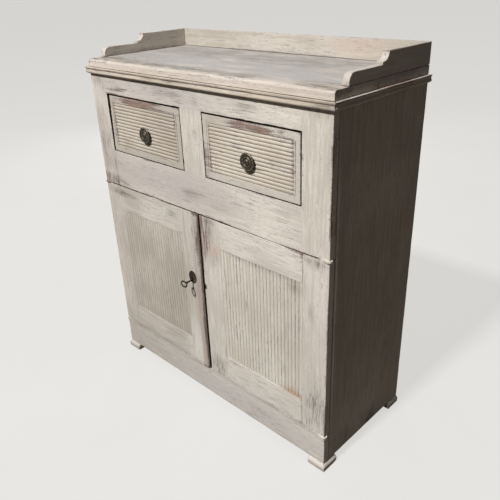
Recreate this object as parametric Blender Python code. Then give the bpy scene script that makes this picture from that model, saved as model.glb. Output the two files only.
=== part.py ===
"""Painted buffet cabinet: a case on block feet, two reeded drawers over two reeded doors, and a tray top.

Metres, +Z up, +X to the right of someone facing the doors, -Y towards them. The origin is on the floor, under
the middle of the cabinet's overall box. The bow of the key is what reaches furthest to the front.
"""
import math
from collections import namedtuple

import bmesh
import bpy
from mathutils import Matrix, Vector

for old in list(bpy.data.objects):
    bpy.data.objects.remove(old, do_unlink=True)

Tenon = namedtuple("Tenon", "length thickness edge")

# Outside of the case, from the floor up
CASE_WIDTH = 0.868
CASE_DEPTH = 0.368
FOOT_HEIGHT = 0.022
PLINTH_HEIGHT = 0.092
DOORWAY_HEIGHT = 0.517
MID_RAIL_HEIGHT = 0.111
DRAWER_OPENING_HEIGHT = 0.166
TOP_RAIL_HEIGHT = 0.070
TOP_BOARD_THICKNESS = 0.021
GALLERY_HEIGHT = 0.051

# Boards of the case
FRAME_THICKNESS = 0.020
SIDE_THICKNESS = 0.020
FLOOR_THICKNESS = 0.018
FLOOR_STOP = 0.010
SHELF_THICKNESS = 0.016
SHELF_CLEAR_HEIGHT = 0.250
SHELF_SETBACK = 0.030
BACK_THICKNESS = 0.010
BACK_REBATE = 0.010
BACK_LAP = 0.012
HOUSING_DEPTH = 0.006
LEFT_STILE_WIDTH = 0.071
RIGHT_STILE_WIDTH = 0.081
DIVIDER_WIDTH = 0.083
FRAME_TENON = Tenon(length=0.030, thickness=0.007, edge=0.012)
DIVIDER_TENON = Tenon(length=0.018, thickness=0.007, edge=0.012)

# Feet, top edge, mouldings and gallery
FOOT_LENGTH = 0.050
FOOT_WIDTH = 0.052
FOOT_LEAN = 0.006
FOOT_SHOULDER = 0.007
NOSING_RADIUS = 0.008
NOSING_UNDER_RADIUS = 0.004
MOULDING_HEIGHT = 0.018
MOULDING_PROJECTION = 0.009
MOULDING_FOOT = 0.003
MOULDING_CHAMFER = 0.0045
MOULDING_REEDS = 3
MOULDING_REED_DEPTH = 0.0008
MITRE_GAP = 0.0010
GALLERY_THICKNESS = 0.018
GALLERY_SETBACK = 0.046
GALLERY_LOW_HEIGHT = 0.026
GALLERY_NOSE_RADIUS = 0.020
GALLERY_LOW_LENGTH = 0.119
GALLERY_STEP = 0.006
GALLERY_COVE_LENGTH = 0.023

# Drawers and their runners
DRAWER_SIDE_GAP = 0.002
LEFT_DRAWER_GAP = 0.006
DRAWER_TOP_GAP = 0.003
DRAWER_BOTTOM_GAP = 0.0015
DRAWER_REAR_GAP = 0.023
DRAWER_LIP = 0.008
DRAWER_SIDE_THICKNESS = 0.010
DRAWER_SIDE_DROP = 0.006
DRAWER_BACK_THICKNESS = 0.010
DRAWER_BOTTOM_THICKNESS = 0.006
DRAWER_BOTTOM_RAISE = 0.008
DRAWER_GROOVE_DEPTH = 0.005
DRAWER_BORDER_SIDE = 0.020
DRAWER_BORDER_TOP = 0.020
DRAWER_BORDER_BOTTOM = 0.0185
DRAWER_REED_PITCH = 0.0095
RUNNER_THICKNESS = 0.020
RUNNER_LEDGE = 0.014
GUIDE_HEIGHT = 0.025
GUIDE_CLEARANCE = 0.001

# Knobs
KNOB_RADIUS = 0.0218
KNOB_HEIGHT = 0.071
LEFT_KNOB_SHIFT = 0.0074
KNOB_NECK_RADIUS = 0.010
KNOB_REACH = 0.0118
KNOB_SPIGOT_RADIUS = 0.004
KNOB_SPIGOT_LENGTH = 0.013

# Doors
DOOR_THICKNESS = 0.019
MEETING_GAP = 0.004
SEAM_GAP = 0.0018
DOOR_STILE_WIDTH = 0.076
DOOR_TOP_RAIL_HEIGHT = 0.080
DOOR_BOTTOM_RAIL_HEIGHT = 0.082
DOOR_TENON = Tenon(length=0.036, thickness=0.006, edge=0.013)
PANEL_TONGUE = 0.008
PANEL_REED_PITCH = 0.01175
REED_RECESS = 0.0005
REED_DEPTH = 0.0034
BEAD_WIDTH = 0.0255
BEAD_PROUD = 0.004
BEAD_MARGIN = 0.002
QUIRK_WIDTH = 0.0012
QUIRK_DEPTH = 0.0012

# Pivot hinges at the outer corners of the doors
PIVOT_INSET = 0.0045
EYE_RADIUS = 0.008
PLATE_LENGTH = 0.044
PLATE_TAIL_RADIUS = 0.005
PLATE_THICKNESS = 0.002
PIN_RADIUS = 0.0025
PIN_LENGTH = 0.009

# Lock and key, at the key's axis
KEY_FROM_MIDDLE = 0.049
KEY_HEIGHT = 0.297
KEY_RADIUS = 0.0024
KEY_SHANK = 0.024
KEY_END = 0.0165
KEY_PLAY = 0.0004
BOW_WIDTH = 0.024
BOW_LENGTH = 0.018
BOW_WIRE_RADIUS = 0.002
BOW_TILT = -40.0
COLLAR_RADIUS = 0.0040
COLLAR_LENGTH = 0.003
BIT_REACH = 0.0095
BIT_LENGTH = 0.006
BIT_THICKNESS = 0.0028
BIT_INSET = 0.0005
ESCUTCHEON_WIDTH = 0.032
ESCUTCHEON_HEIGHT = 0.040
ESCUTCHEON_THICKNESS = 0.0015
ESCUTCHEON_RAISE = 0.010
ESCUTCHEON_SHIFT = 0.002
LOCK_COVER = 0.0085
LOCK_EDGE_COVER = 0.010
LOCK_WALL = 0.0012
LOCK_CLEARANCE = 0.001
BOLT_THICKNESS = 0.004
BOLT_HEAD_HEIGHT = 0.010
BOLT_HEAD_DROP = 0.0035
BOLT_TAIL_HEIGHT = 0.008
BOLT_NECK_LENGTH = 0.010
BOLT_SETBACK = 0.001
BOLT_DRAWN = 0.0028
BOLT_THROW = 0.010
MORTISE_PLAY = 0.001

# Gap kept between pieces that touch, how far a cutter reaches past a face, and the finest merge
FIT = 0.0003
OVERCUT = 0.001
MERGE = 0.000001

# Facets of round stretches
ARC_STEPS = 5
REED_STEPS = 5
BEAD_STEPS = 8
ROD_SIDES = 16
TURNED_STEPS = 24
BOW_STEPS = 20
BOW_SIDES = 8
OVAL_STEPS = 32
SHARP_ANGLE = math.radians(40)

# Levels above the floor
Z_PLINTH = FOOT_HEIGHT + PLINTH_HEIGHT
Z_SEAM = Z_PLINTH + DOORWAY_HEIGHT
Z_DRAWERS = Z_SEAM + MID_RAIL_HEIGHT
Z_TOP_RAIL = Z_DRAWERS + DRAWER_OPENING_HEIGHT
Z_CASE_TOP = Z_TOP_RAIL + TOP_RAIL_HEIGHT
Z_TRAY = Z_CASE_TOP + TOP_BOARD_THICKNESS
Z_FLOOR = Z_PLINTH + FLOOR_STOP
Z_SHELF = Z_FLOOR + SHELF_CLEAR_HEIGHT
Z_DOOR_LOW = Z_PLINTH + SEAM_GAP
Z_DOOR_HIGH = Z_SEAM - SEAM_GAP
Z_DRAWER_LOW = Z_DRAWERS + DRAWER_BOTTOM_GAP
Z_DRAWER_HIGH = Z_TOP_RAIL - DRAWER_TOP_GAP
Z_KEY = Z_PLINTH + KEY_HEIGHT

# Planes from front to back, and out from the middle
KEY_REACH = KEY_SHANK + BOW_LENGTH
Y_FRONT = (KEY_REACH - CASE_DEPTH) / 2
Y_FRAME_BACK = Y_FRONT + FRAME_THICKNESS
Y_DOOR_BACK = Y_FRONT + DOOR_THICKNESS
Y_BACK = Y_FRONT + CASE_DEPTH
Y_BACK_BOARDS = Y_BACK - BACK_THICKNESS
DRAWER_LENGTH = Y_BACK_BOARDS - DRAWER_REAR_GAP - Y_FRONT
X_SIDE = CASE_WIDTH / 2
X_INSIDE = X_SIDE - SIDE_THICKNESS
X_FRAMES = {-1: X_SIDE - LEFT_STILE_WIDTH, 1: X_SIDE - RIGHT_STILE_WIDTH}
X_DRAWERS = {-1: X_FRAMES[-1] - LEFT_DRAWER_GAP, 1: X_FRAMES[1] - DRAWER_SIDE_GAP}
X_DIVIDER = DIVIDER_WIDTH / 2
X_KEY = -KEY_FROM_MIDDLE
X_DOOR_EDGE = MEETING_GAP / 2
HANDS = (("left", -1), ("right", 1))


def finish(name, colour, roughness, metallic):
    """A surface finish: linear colour, roughness and metallic value."""
    material = bpy.data.materials.new(name)
    material.use_nodes = True
    shader = material.node_tree.nodes["Principled BSDF"]
    shader.inputs["Base Color"].default_value = (*colour, 1)
    shader.inputs["Roughness"].default_value = roughness
    shader.inputs["Metallic"].default_value = metallic
    return material


PAINT = finish("worn_pale_paint", (0.56, 0.51, 0.45), 0.75, 0.0)
DOOR_PAINT = finish("worn_grey_paint", (0.50, 0.47, 0.41), 0.75, 0.0)
DRAWER_PAINT = finish("worn_cream_paint", (0.64, 0.58, 0.48), 0.70, 0.0)
BARE_PINE = finish("bare_pine", (0.33, 0.22, 0.12), 0.65, 0.0)
BRONZE = finish("dark_bronze", (0.07, 0.06, 0.04), 0.45, 1.0)
IRON = finish("dark_iron", (0.05, 0.045, 0.04), 0.55, 1.0)


def spot_in_cabinet(thing):
    """Where an unturned object or empty lies in the cabinet's frame, through its parents."""
    spot = thing.location.copy()
    while thing.parent:
        thing = thing.parent
        spot += thing.location
    return spot


def make_axis(name, spot, parent=None):
    """An empty on a joint's axis, which carries the pieces that move with it."""
    axis = bpy.data.objects.new(name, None)
    axis.location = Vector(spot)
    if parent:
        axis.parent = parent
        axis.location -= spot_in_cabinet(parent)
    bpy.context.collection.objects.link(axis)
    return axis


def make_piece(name, bm, material=None, parent=None):
    """An object from a mesh drawn in the cabinet's frame, with its origin in the middle of its box."""
    bmesh.ops.recalc_face_normals(bm, faces=bm.faces)
    low = Vector([min(vert.co[i] for vert in bm.verts) for i in range(3)])
    high = Vector([max(vert.co[i] for vert in bm.verts) for i in range(3)])
    middle = (low + high) / 2
    bmesh.ops.translate(bm, verts=bm.verts, vec=-middle)
    mesh = bpy.data.meshes.new(name)
    bm.to_mesh(mesh)
    bm.free()
    mesh.shade_smooth()
    mesh.set_sharp_from_angle(angle=SHARP_ANGLE)
    piece = bpy.data.objects.new(name, mesh)
    piece.location = middle
    if material:
        mesh.materials.append(material)
    if parent:
        piece.parent = parent
        piece.location -= spot_in_cabinet(parent)
    bpy.context.collection.objects.link(piece)
    return piece


def combine(piece, bm, operation):
    """Cuts a shape out of a piece or joins one to it, with a hidden helper that follows the piece."""
    helper = make_piece(f"{piece.name}_{operation.lower()}", bm, parent=piece)
    helper.hide_render = True
    helper.display_type = "WIRE"
    change = piece.modifiers.new(helper.name, "BOOLEAN")
    change.operation = operation
    change.object = helper


def cut(piece, bm):
    """Cuts a shape out of a piece."""
    combine(piece, bm, "DIFFERENCE")


def join(piece, bm):
    """Joins a shape to a piece."""
    combine(piece, bm, "UNION")


def block(corner, opposite):
    """A plain block between two opposite corners."""
    low = Vector(map(min, corner, opposite))
    high = Vector(map(max, corner, opposite))
    bm = bmesh.new()
    place = Matrix.Translation((low + high) / 2) @ Matrix.Diagonal((*(high - low), 1))
    bmesh.ops.create_cube(bm, size=1, matrix=place)
    return bm


def new_verts(made):
    """The vertices among what an operator made."""
    return [item for item in made["geom"] if isinstance(item, bmesh.types.BMVert)]


def prism(outline, axis, start, end):
    """An outline, drawn in the plane square to an axis, drawn out along that axis."""
    across, up = [i for i in range(3) if i != axis]
    bm = bmesh.new()
    ring = []
    for u, v in outline:
        spot = Vector()
        spot[across] = u
        spot[up] = v
        spot[axis] = start
        ring.append(bm.verts.new(spot))
    travel = Vector()
    travel[axis] = end - start
    made = bmesh.ops.extrude_face_region(bm, geom=[bm.faces.new(ring)])
    bmesh.ops.translate(bm, verts=new_verts(made), vec=travel)
    return bm


def arc(centre, radii, start, end, steps):
    """Points along a round or oval stretch, both ends included, with angles in degrees."""
    points = []
    for step in range(steps + 1):
        angle = math.radians(start + (end - start) * step / steps)
        points.append((centre[0] + radii[0] * math.cos(angle), centre[1] + radii[1] * math.sin(angle)))
    return points


def rod(start, end, radius):
    """A round bar between two points."""
    start = Vector(start)
    end = Vector(end)
    run = end - start
    turn = run.to_track_quat("Z", "Y").to_matrix().to_4x4()
    place = Matrix.Translation((start + end) / 2) @ turn
    bm = bmesh.new()
    bmesh.ops.create_cone(bm, cap_ends=True, segments=ROD_SIDES, radius1=radius, radius2=radius,
                          depth=run.length, matrix=place)
    return bm


def turned(profile, spot, steps):
    """A turned shape about an axis along Y, from points of radius and reach to the front of a spot."""
    bm = bmesh.new()
    verts = [bm.verts.new((spot[0] + radius, spot[1] - reach, spot[2])) for radius, reach in profile]
    edges = [bm.edges.new(pair) for pair in zip(verts, verts[1:])]
    bmesh.ops.spin(bm, geom=verts + edges, cent=spot, axis=(0, 1, 0), angle=math.tau, steps=steps,
                   use_merge=True)
    bmesh.ops.remove_doubles(bm, verts=bm.verts, dist=MERGE)
    return bm


def tenoned(low, high, axis, tenon):
    """A board with a tenon on each end along an axis, in the middle of its thickness."""
    bm = block(low, high)
    middle = (Vector(low) + Vector(high)) / 2
    across = 2 - axis
    half_width = (high[across] - low[across]) / 2 - tenon.edge
    for side in (-1, 1):
        end = max(bm.faces, key=lambda face: side * face.calc_center_median()[axis])
        bmesh.ops.inset_region(bm, faces=[end], thickness=tenon.thickness / 2, use_even_offset=True)
        for corner in end.verts:
            corner.co.y = middle.y + math.copysign(tenon.thickness / 2, corner.co.y - middle.y)
            corner.co[across] = middle[across] + math.copysign(half_width, corner.co[across] - middle[across])
        travel = Vector()
        travel[axis] = side * tenon.length
        tip = bmesh.ops.extrude_discrete_faces(bm, faces=[end])["faces"][0]
        bmesh.ops.translate(bm, verts=tip.verts, vec=travel)
    return bm


def mortise(piece, low, high, axis, side, tenon):
    """Cuts the socket in a piece for the tenon on one end of a board."""
    near = Vector(low)
    far = Vector(high)
    across = 2 - axis
    near.y = (low[1] + high[1] - tenon.thickness) / 2 - FIT
    far.y = (low[1] + high[1] + tenon.thickness) / 2 + FIT
    near[across] += tenon.edge - FIT
    far[across] -= tenon.edge - FIT
    shoulder = high[axis] if side > 0 else low[axis]
    near[axis] = shoulder - side * OVERCUT
    far[axis] = shoulder + side * (tenon.length + FIT)
    cut(piece, block(near, far))


def reed_points(start, end, pitch, crest, depth, behind):
    """Half-round reeds side by side from start to end, as points of place and level, crests level with crest.

    The reeds share the run evenly, with as many as the pitch calls for, and behind is the way into the wood.
    """
    count = round(abs(end - start) / pitch)
    half = (end - start) / count / 2
    valley = crest + behind * depth
    points = [(start, valley)]
    for reed in range(count):
        middle = start + half * (2 * reed + 1)
        points += arc((middle, valley), (-half, -behind * depth), 0, 180, REED_STEPS)[1:]
    return points


# Case sides, rebated for the back boards and housed for the floor board and the shelf
def make_side(hand, sign):
    side_front = Y_FRAME_BACK + FIT
    rebate_front = Y_BACK_BOARDS - FIT
    outer = sign * X_SIDE
    inner = sign * X_INSIDE
    rebated = sign * (X_INSIDE + BACK_REBATE)
    outline = [(outer, side_front), (inner, side_front), (inner, rebate_front), (rebated, rebate_front),
               (rebated, Y_BACK), (outer, Y_BACK)]
    side = make_piece(f"{hand}_side", prism(outline, 2, FOOT_HEIGHT, Z_CASE_TOP - FIT), PAINT)
    housed = sign * (X_INSIDE + HOUSING_DEPTH)
    levels = ((Z_FLOOR, FLOOR_THICKNESS, side_front - OVERCUT),
              (Z_SHELF, SHELF_THICKNESS, side_front + SHELF_SETBACK - FIT))
    for top, thickness, front in levels:
        cut(side, block((inner - sign * OVERCUT, front, top - thickness - FIT),
                        (housed, rebate_front + OVERCUT, top + FIT)))


for hand, sign in HANDS:
    make_side(hand, sign)

# Floor board and shelf, let into the sides
X_HOUSED = X_INSIDE + HOUSING_DEPTH - FIT
Y_INSIDE_BACK = Y_BACK_BOARDS - 2 * FIT
make_piece("floor_board", block((-X_HOUSED, Y_FRAME_BACK + FIT, Z_FLOOR - FLOOR_THICKNESS),
                                (X_HOUSED, Y_INSIDE_BACK, Z_FLOOR)), BARE_PINE)
make_piece("shelf", block((-X_HOUSED, Y_FRAME_BACK + FIT + SHELF_SETBACK, Z_SHELF - SHELF_THICKNESS),
                          (X_HOUSED, Y_INSIDE_BACK, Z_SHELF)), BARE_PINE)

# Two upright back boards in the rebates, half lapped where they meet
Y_LAP = (Y_BACK_BOARDS + Y_BACK) / 2
for hand, sign in HANDS:
    edge = sign * (X_INSIDE + BACK_REBATE - FIT)
    lap = sign * BACK_LAP / 2
    lapped = Y_BACK_BOARDS if sign < 0 else Y_BACK
    open_face = Y_BACK if sign < 0 else Y_BACK_BOARDS
    halved = Y_LAP + sign * FIT / 2
    outline = [(edge, lapped), (-lap + sign * FIT, lapped), (-lap + sign * FIT, halved), (lap, halved),
               (lap, open_face), (edge, open_face)]
    make_piece(f"{hand}_back_board", prism(outline, 2, FOOT_HEIGHT, Z_CASE_TOP - FIT), BARE_PINE)

# Front frame: rails tenoned into the stiles, and the divider tenoned into the rails
X_RAIL_LEFT = FIT - X_FRAMES[-1]
X_RAIL_RIGHT = X_FRAMES[1] - FIT
TOP_RAIL_BOX = ((X_RAIL_LEFT, Y_FRONT, Z_TOP_RAIL), (X_RAIL_RIGHT, Y_FRAME_BACK, Z_CASE_TOP - FIT))
MID_RAIL_BOX = ((X_RAIL_LEFT, Y_FRONT, Z_SEAM), (X_RAIL_RIGHT, Y_FRAME_BACK, Z_DRAWERS))
DIVIDER_BOX = ((-X_DIVIDER, Y_FRONT, Z_DRAWERS + FIT), (X_DIVIDER, Y_FRAME_BACK, Z_TOP_RAIL - FIT))
top_rail = make_piece("top_rail", tenoned(*TOP_RAIL_BOX, 0, FRAME_TENON), PAINT)
mid_rail = make_piece("mid_rail", tenoned(*MID_RAIL_BOX, 0, FRAME_TENON), PAINT)
make_piece("drawer_divider", tenoned(*DIVIDER_BOX, 2, DIVIDER_TENON), PAINT)
mortise(top_rail, *DIVIDER_BOX, 2, 1, DIVIDER_TENON)
mortise(mid_rail, *DIVIDER_BOX, 2, -1, DIVIDER_TENON)
front_stiles = {}
for hand, sign in HANDS:
    corners = ((sign * X_SIDE, Y_FRONT, Z_SEAM), (sign * X_FRAMES[sign], Y_FRAME_BACK, Z_CASE_TOP - FIT))
    front_stiles[hand] = make_piece(f"{hand}_front_stile", block(*corners), PAINT)
    for rail_box in (TOP_RAIL_BOX, MID_RAIL_BOX):
        mortise(front_stiles[hand], *rail_box, 0, sign, FRAME_TENON)

# Plinth rail across the foot of the front
plinth_rail = make_piece("plinth_rail", block((-X_SIDE, Y_FRONT, FOOT_HEIGHT),
                                              (X_SIDE, Y_FRAME_BACK, Z_PLINTH)), PAINT)


# Block feet that stand out of the case, with a shoulder that slopes back to it
def make_foot(name, sign, y_front, y_back, lean):
    bm = block((sign * X_SIDE + lean[0], y_front + lean[1], 0),
               (sign * (X_SIDE - FOOT_LENGTH), y_back, FOOT_HEIGHT - FIT))
    bmesh.ops.bisect_plane(bm, geom=bm.verts[:] + bm.edges[:] + bm.faces[:],
                           plane_co=(0, 0, FOOT_HEIGHT - FOOT_SHOULDER), plane_no=(0, 0, 1))
    for vert in bm.verts:
        if vert.co.z > FOOT_HEIGHT - FOOT_SHOULDER / 2:
            vert.co.x = sign * min(abs(vert.co.x), X_SIDE)
            vert.co.y = max(vert.co.y, y_front)
    make_piece(name, bm, PAINT)


for hand, sign in HANDS:
    make_foot(f"front_{hand}_foot", sign, Y_FRONT, Y_FRONT + FOOT_WIDTH, (sign * FOOT_LEAN, -FOOT_LEAN))
    make_foot(f"rear_{hand}_foot", sign, Y_BACK - FOOT_WIDTH, Y_BACK, (sign * FOOT_LEAN, 0))

# Top board with a rounded front edge
nosing = arc((Y_FRONT + NOSING_RADIUS, Z_TRAY - NOSING_RADIUS),
             (NOSING_RADIUS, NOSING_RADIUS), 90, 180, ARC_STEPS)
under = arc((Y_FRONT + NOSING_UNDER_RADIUS, Z_CASE_TOP + NOSING_UNDER_RADIUS),
            (NOSING_UNDER_RADIUS, NOSING_UNDER_RADIUS), 180, 270, ARC_STEPS)
top_outline = nosing + under + [(Y_BACK, Z_CASE_TOP), (Y_BACK, Z_TRAY)]
make_piece("top_board", prism(top_outline, 0, -X_SIDE, X_SIDE), PAINT)


# Moulding strips under the top board, reeded, chamfered below and mitred at the front corners
def moulding_profile():
    """Points of projection and level, from the foot of the strip round to its top."""
    low = Z_CASE_TOP - MOULDING_HEIGHT
    high = Z_CASE_TOP - FIT
    reeds = reed_points(low + MOULDING_CHAMFER, high, (high - low - MOULDING_CHAMFER) / MOULDING_REEDS,
                        MOULDING_PROJECTION, MOULDING_REED_DEPTH, -1)
    face = [(projection, level) for level, projection in reeds]
    return [(0, low), (MOULDING_FOOT, low)] + face + [(0, high)]


front_outline = [(Y_FRONT - FIT - projection, level) for projection, level in moulding_profile()]
front_strip = prism(front_outline, 0, -X_SIDE, X_SIDE)
for vert in front_strip.verts:
    vert.co.x += math.copysign(Y_FRONT - vert.co.y - MITRE_GAP, vert.co.x)
make_piece("front_moulding", front_strip, PAINT)
for hand, sign in HANDS:
    side_outline = [(sign * (X_SIDE + FIT + projection), level) for projection, level in moulding_profile()]
    strip = prism(side_outline, 1, Y_FRONT, Y_BACK)
    for vert in strip.verts:
        if vert.co.y < 0:
            vert.co.y -= abs(vert.co.x) - X_SIDE - MITRE_GAP
    make_piece(f"{hand}_moulding", strip, PAINT)

# Gallery: a plain board along the back, and side boards that step down in a cove to a low round nose
Z_GALLERY = Z_TRAY + FIT
Z_GALLERY_TOP = Z_TRAY + GALLERY_HEIGHT
Z_GALLERY_LOW = Z_TRAY + GALLERY_LOW_HEIGHT
Z_COVE = Z_GALLERY_LOW + GALLERY_STEP
Y_NOSE = Y_FRONT + GALLERY_SETBACK
Y_STEP = Y_NOSE + GALLERY_LOW_LENGTH
X_GALLERY = X_SIDE - GALLERY_THICKNESS
round_nose = arc((Y_NOSE + GALLERY_NOSE_RADIUS, Z_GALLERY_LOW - GALLERY_NOSE_RADIUS),
                 (GALLERY_NOSE_RADIUS, GALLERY_NOSE_RADIUS), 180, 90, ARC_STEPS)
cove = arc((Y_STEP, Z_GALLERY_TOP), (GALLERY_COVE_LENGTH, Z_GALLERY_TOP - Z_COVE), 270, 360, ARC_STEPS)
gallery_outline = ([(Y_NOSE, Z_GALLERY)] + round_nose + [(Y_STEP, Z_GALLERY_LOW)] + cove
                   + [(Y_BACK, Z_GALLERY_TOP), (Y_BACK, Z_GALLERY)])
for hand, sign in HANDS:
    make_piece(f"{hand}_gallery", prism(gallery_outline, 0, sign * X_GALLERY, sign * X_SIDE), PAINT)
make_piece("back_gallery", block((-X_GALLERY + FIT, Y_BACK - GALLERY_THICKNESS, Z_GALLERY),
                                 (X_GALLERY - FIT, Y_BACK, Z_GALLERY_TOP)), PAINT)

# Runners under the drawers, with guides that stand beside the drawer sides
Y_RUNNER = Y_FRAME_BACK + FIT
Z_RUNNER = Z_DRAWER_LOW - FIT
Z_GUIDE = Z_RUNNER + GUIDE_HEIGHT
X_INNER_GUIDE = X_DIVIDER + DRAWER_SIDE_GAP - GUIDE_CLEARANCE
X_INNER_LEDGE = X_INNER_GUIDE + RUNNER_LEDGE
for hand, sign in HANDS:
    wall = sign * (X_INSIDE - FIT)
    guide = sign * (X_DRAWERS[sign] + GUIDE_CLEARANCE)
    ledge = guide - sign * RUNNER_LEDGE
    outline = [(wall, Z_RUNNER - RUNNER_THICKNESS), (ledge, Z_RUNNER - RUNNER_THICKNESS), (ledge, Z_RUNNER),
               (guide, Z_RUNNER), (guide, Z_GUIDE), (wall, Z_GUIDE)]
    make_piece(f"{hand}_runner", prism(outline, 1, Y_RUNNER, Y_INSIDE_BACK), BARE_PINE)
half_runner = [(X_INNER_LEDGE, Z_RUNNER - RUNNER_THICKNESS), (X_INNER_LEDGE, Z_RUNNER),
               (X_INNER_GUIDE, Z_RUNNER), (X_INNER_GUIDE, Z_GUIDE)]
other_half = [(-place, level) for place, level in reversed(half_runner)]
make_piece("centre_runner", prism(half_runner + other_half, 1, Y_RUNNER, Y_INSIDE_BACK), BARE_PINE)


# Drawers: a reeded front lapped over the sides, a back between them, a bottom in grooves, and a turned knob
def knob_profile():
    """Points of radius and reach, from the end of the spigot over the dished and ringed face to its boss."""
    rim = KNOB_RADIUS
    return [(0, -KNOB_SPIGOT_LENGTH), (KNOB_SPIGOT_RADIUS, -KNOB_SPIGOT_LENGTH), (KNOB_SPIGOT_RADIUS, 0),
            (KNOB_NECK_RADIUS, 0), (KNOB_NECK_RADIUS, KNOB_REACH * 0.30), (rim * 0.92, KNOB_REACH * 0.38),
            (rim, KNOB_REACH * 0.48), (rim, KNOB_REACH * 0.64), (rim * 0.93, KNOB_REACH * 0.78),
            (rim * 0.84, KNOB_REACH * 0.72), (rim * 0.76, KNOB_REACH * 0.66), (rim * 0.62, KNOB_REACH * 0.82),
            (rim * 0.50, KNOB_REACH * 0.70), (rim * 0.36, KNOB_REACH * 0.88), (rim * 0.18, KNOB_REACH * 0.98),
            (0, KNOB_REACH)]


def make_drawer(hand, sign):
    low_x, high_x = sorted((sign * (X_DIVIDER + DRAWER_SIDE_GAP), sign * X_DRAWERS[sign]))
    middle_x = (low_x + high_x) / 2
    slide = make_axis(f"{hand}_drawer_slide", (middle_x, Y_FRONT, (Z_DRAWER_LOW + Z_DRAWER_HIGH) / 2))
    y_lip = Y_FRONT + DRAWER_LIP
    y_end = Y_FRONT + DRAWER_LENGTH
    z_sides = Z_DRAWER_HIGH - DRAWER_SIDE_DROP
    z_bottom = Z_DRAWER_LOW + DRAWER_BOTTOM_RAISE
    z_bottom_top = z_bottom + DRAWER_BOTTOM_THICKNESS
    lap = DRAWER_SIDE_THICKNESS + FIT
    outline = [(low_x, Y_FRONT), (high_x, Y_FRONT), (high_x, y_lip), (high_x - lap, y_lip),
               (high_x - lap, Y_FRAME_BACK), (low_x + lap, Y_FRAME_BACK), (low_x + lap, y_lip),
               (low_x, y_lip)]
    board = prism(outline, 2, Z_DRAWER_LOW, Z_DRAWER_HIGH)
    front = make_piece(f"{hand}_drawer_front", board, DRAWER_PAINT, slide)

    reeds = reed_points(Z_DRAWER_LOW + DRAWER_BORDER_BOTTOM, Z_DRAWER_HIGH - DRAWER_BORDER_TOP,
                        DRAWER_REED_PITCH, Y_FRONT + REED_RECESS, REED_DEPTH, 1)
    y_clear = Y_FRONT - OVERCUT
    field = [(y_clear, reeds[0][0])] + [(level, place) for place, level in reeds] + [(y_clear, reeds[-1][0])]
    cut(front, prism(field, 0, low_x + DRAWER_BORDER_SIDE, high_x - DRAWER_BORDER_SIDE))
    cut(front, block((low_x + lap - OVERCUT, Y_FRAME_BACK - DRAWER_GROOVE_DEPTH, z_bottom - FIT),
                     (high_x - lap + OVERCUT, Y_FRAME_BACK + OVERCUT, z_bottom_top + FIT)))
    knob_x = middle_x + LEFT_KNOB_SHIFT if sign < 0 else middle_x
    knob_spot = (knob_x, Y_FRONT + REED_RECESS - FIT, Z_DRAWER_LOW + KNOB_HEIGHT)
    bore_end = (knob_x, knob_spot[1] + KNOB_SPIGOT_LENGTH + FIT, knob_spot[2])
    cut(front, rod((knob_x, y_clear, knob_spot[2]), bore_end, KNOB_SPIGOT_RADIUS + FIT))
    make_piece(f"{hand}_drawer_knob", turned(knob_profile(), knob_spot, TURNED_STEPS), BRONZE, slide)

    for end, outside, inward in (("left", low_x, 1), ("right", high_x, -1)):
        inside = outside + inward * DRAWER_SIDE_THICKNESS
        groove = inside - inward * DRAWER_GROOVE_DEPTH
        outline = [(outside, Z_DRAWER_LOW), (inside, Z_DRAWER_LOW), (inside, z_bottom - FIT),
                   (groove, z_bottom - FIT), (groove, z_bottom_top + FIT), (inside, z_bottom_top + FIT),
                   (inside, z_sides), (outside, z_sides)]
        make_piece(f"{hand}_drawer_{end}_side", prism(outline, 1, y_lip + FIT, y_end), BARE_PINE, slide)

    half_inside = (high_x - low_x) / 2 - DRAWER_SIDE_THICKNESS
    half_back = half_inside - FIT
    y_back = y_end - DRAWER_BACK_THICKNESS
    make_piece(f"{hand}_drawer_back", block((middle_x - half_back, y_back, z_bottom_top + FIT),
                                            (middle_x + half_back, y_end, z_sides)), BARE_PINE, slide)
    half_bottom = half_inside + DRAWER_GROOVE_DEPTH - FIT
    y_bottom = Y_FRAME_BACK - DRAWER_GROOVE_DEPTH + FIT
    bottom = block((middle_x - half_bottom, y_bottom, z_bottom),
                   (middle_x + half_bottom, y_end, z_bottom_top))
    make_piece(f"{hand}_drawer_bottom", bottom, BARE_PINE, slide)


for hand, sign in HANDS:
    make_drawer(hand, sign)


# Pivot hinges: a plate with a pin in the case, and a leaf with an eye in the end of the door
def hinge_outline(sign, grow):
    """Plan of a plate: a round eye over the pivot, a narrower round tail further in, and straight sides."""
    eye = Vector((sign * (X_SIDE - PIVOT_INSET), Y_FRONT + PIVOT_INSET))
    tail = Vector((sign * (X_SIDE - PLATE_LENGTH), Y_FRONT + DOOR_THICKNESS / 2))
    run = tail - eye
    heading = math.degrees(math.atan2(run.y, run.x))
    lean = math.degrees(math.acos((EYE_RADIUS - PLATE_TAIL_RADIUS) / run.length))
    eye_radii = (EYE_RADIUS + grow, EYE_RADIUS + grow)
    tail_radii = (PLATE_TAIL_RADIUS + grow, PLATE_TAIL_RADIUS + grow)
    return (arc(eye, eye_radii, heading + lean, heading + 360 - lean, 2 * ARC_STEPS)
            + arc(tail, tail_radii, heading - lean, heading + lean, ARC_STEPS))


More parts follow.
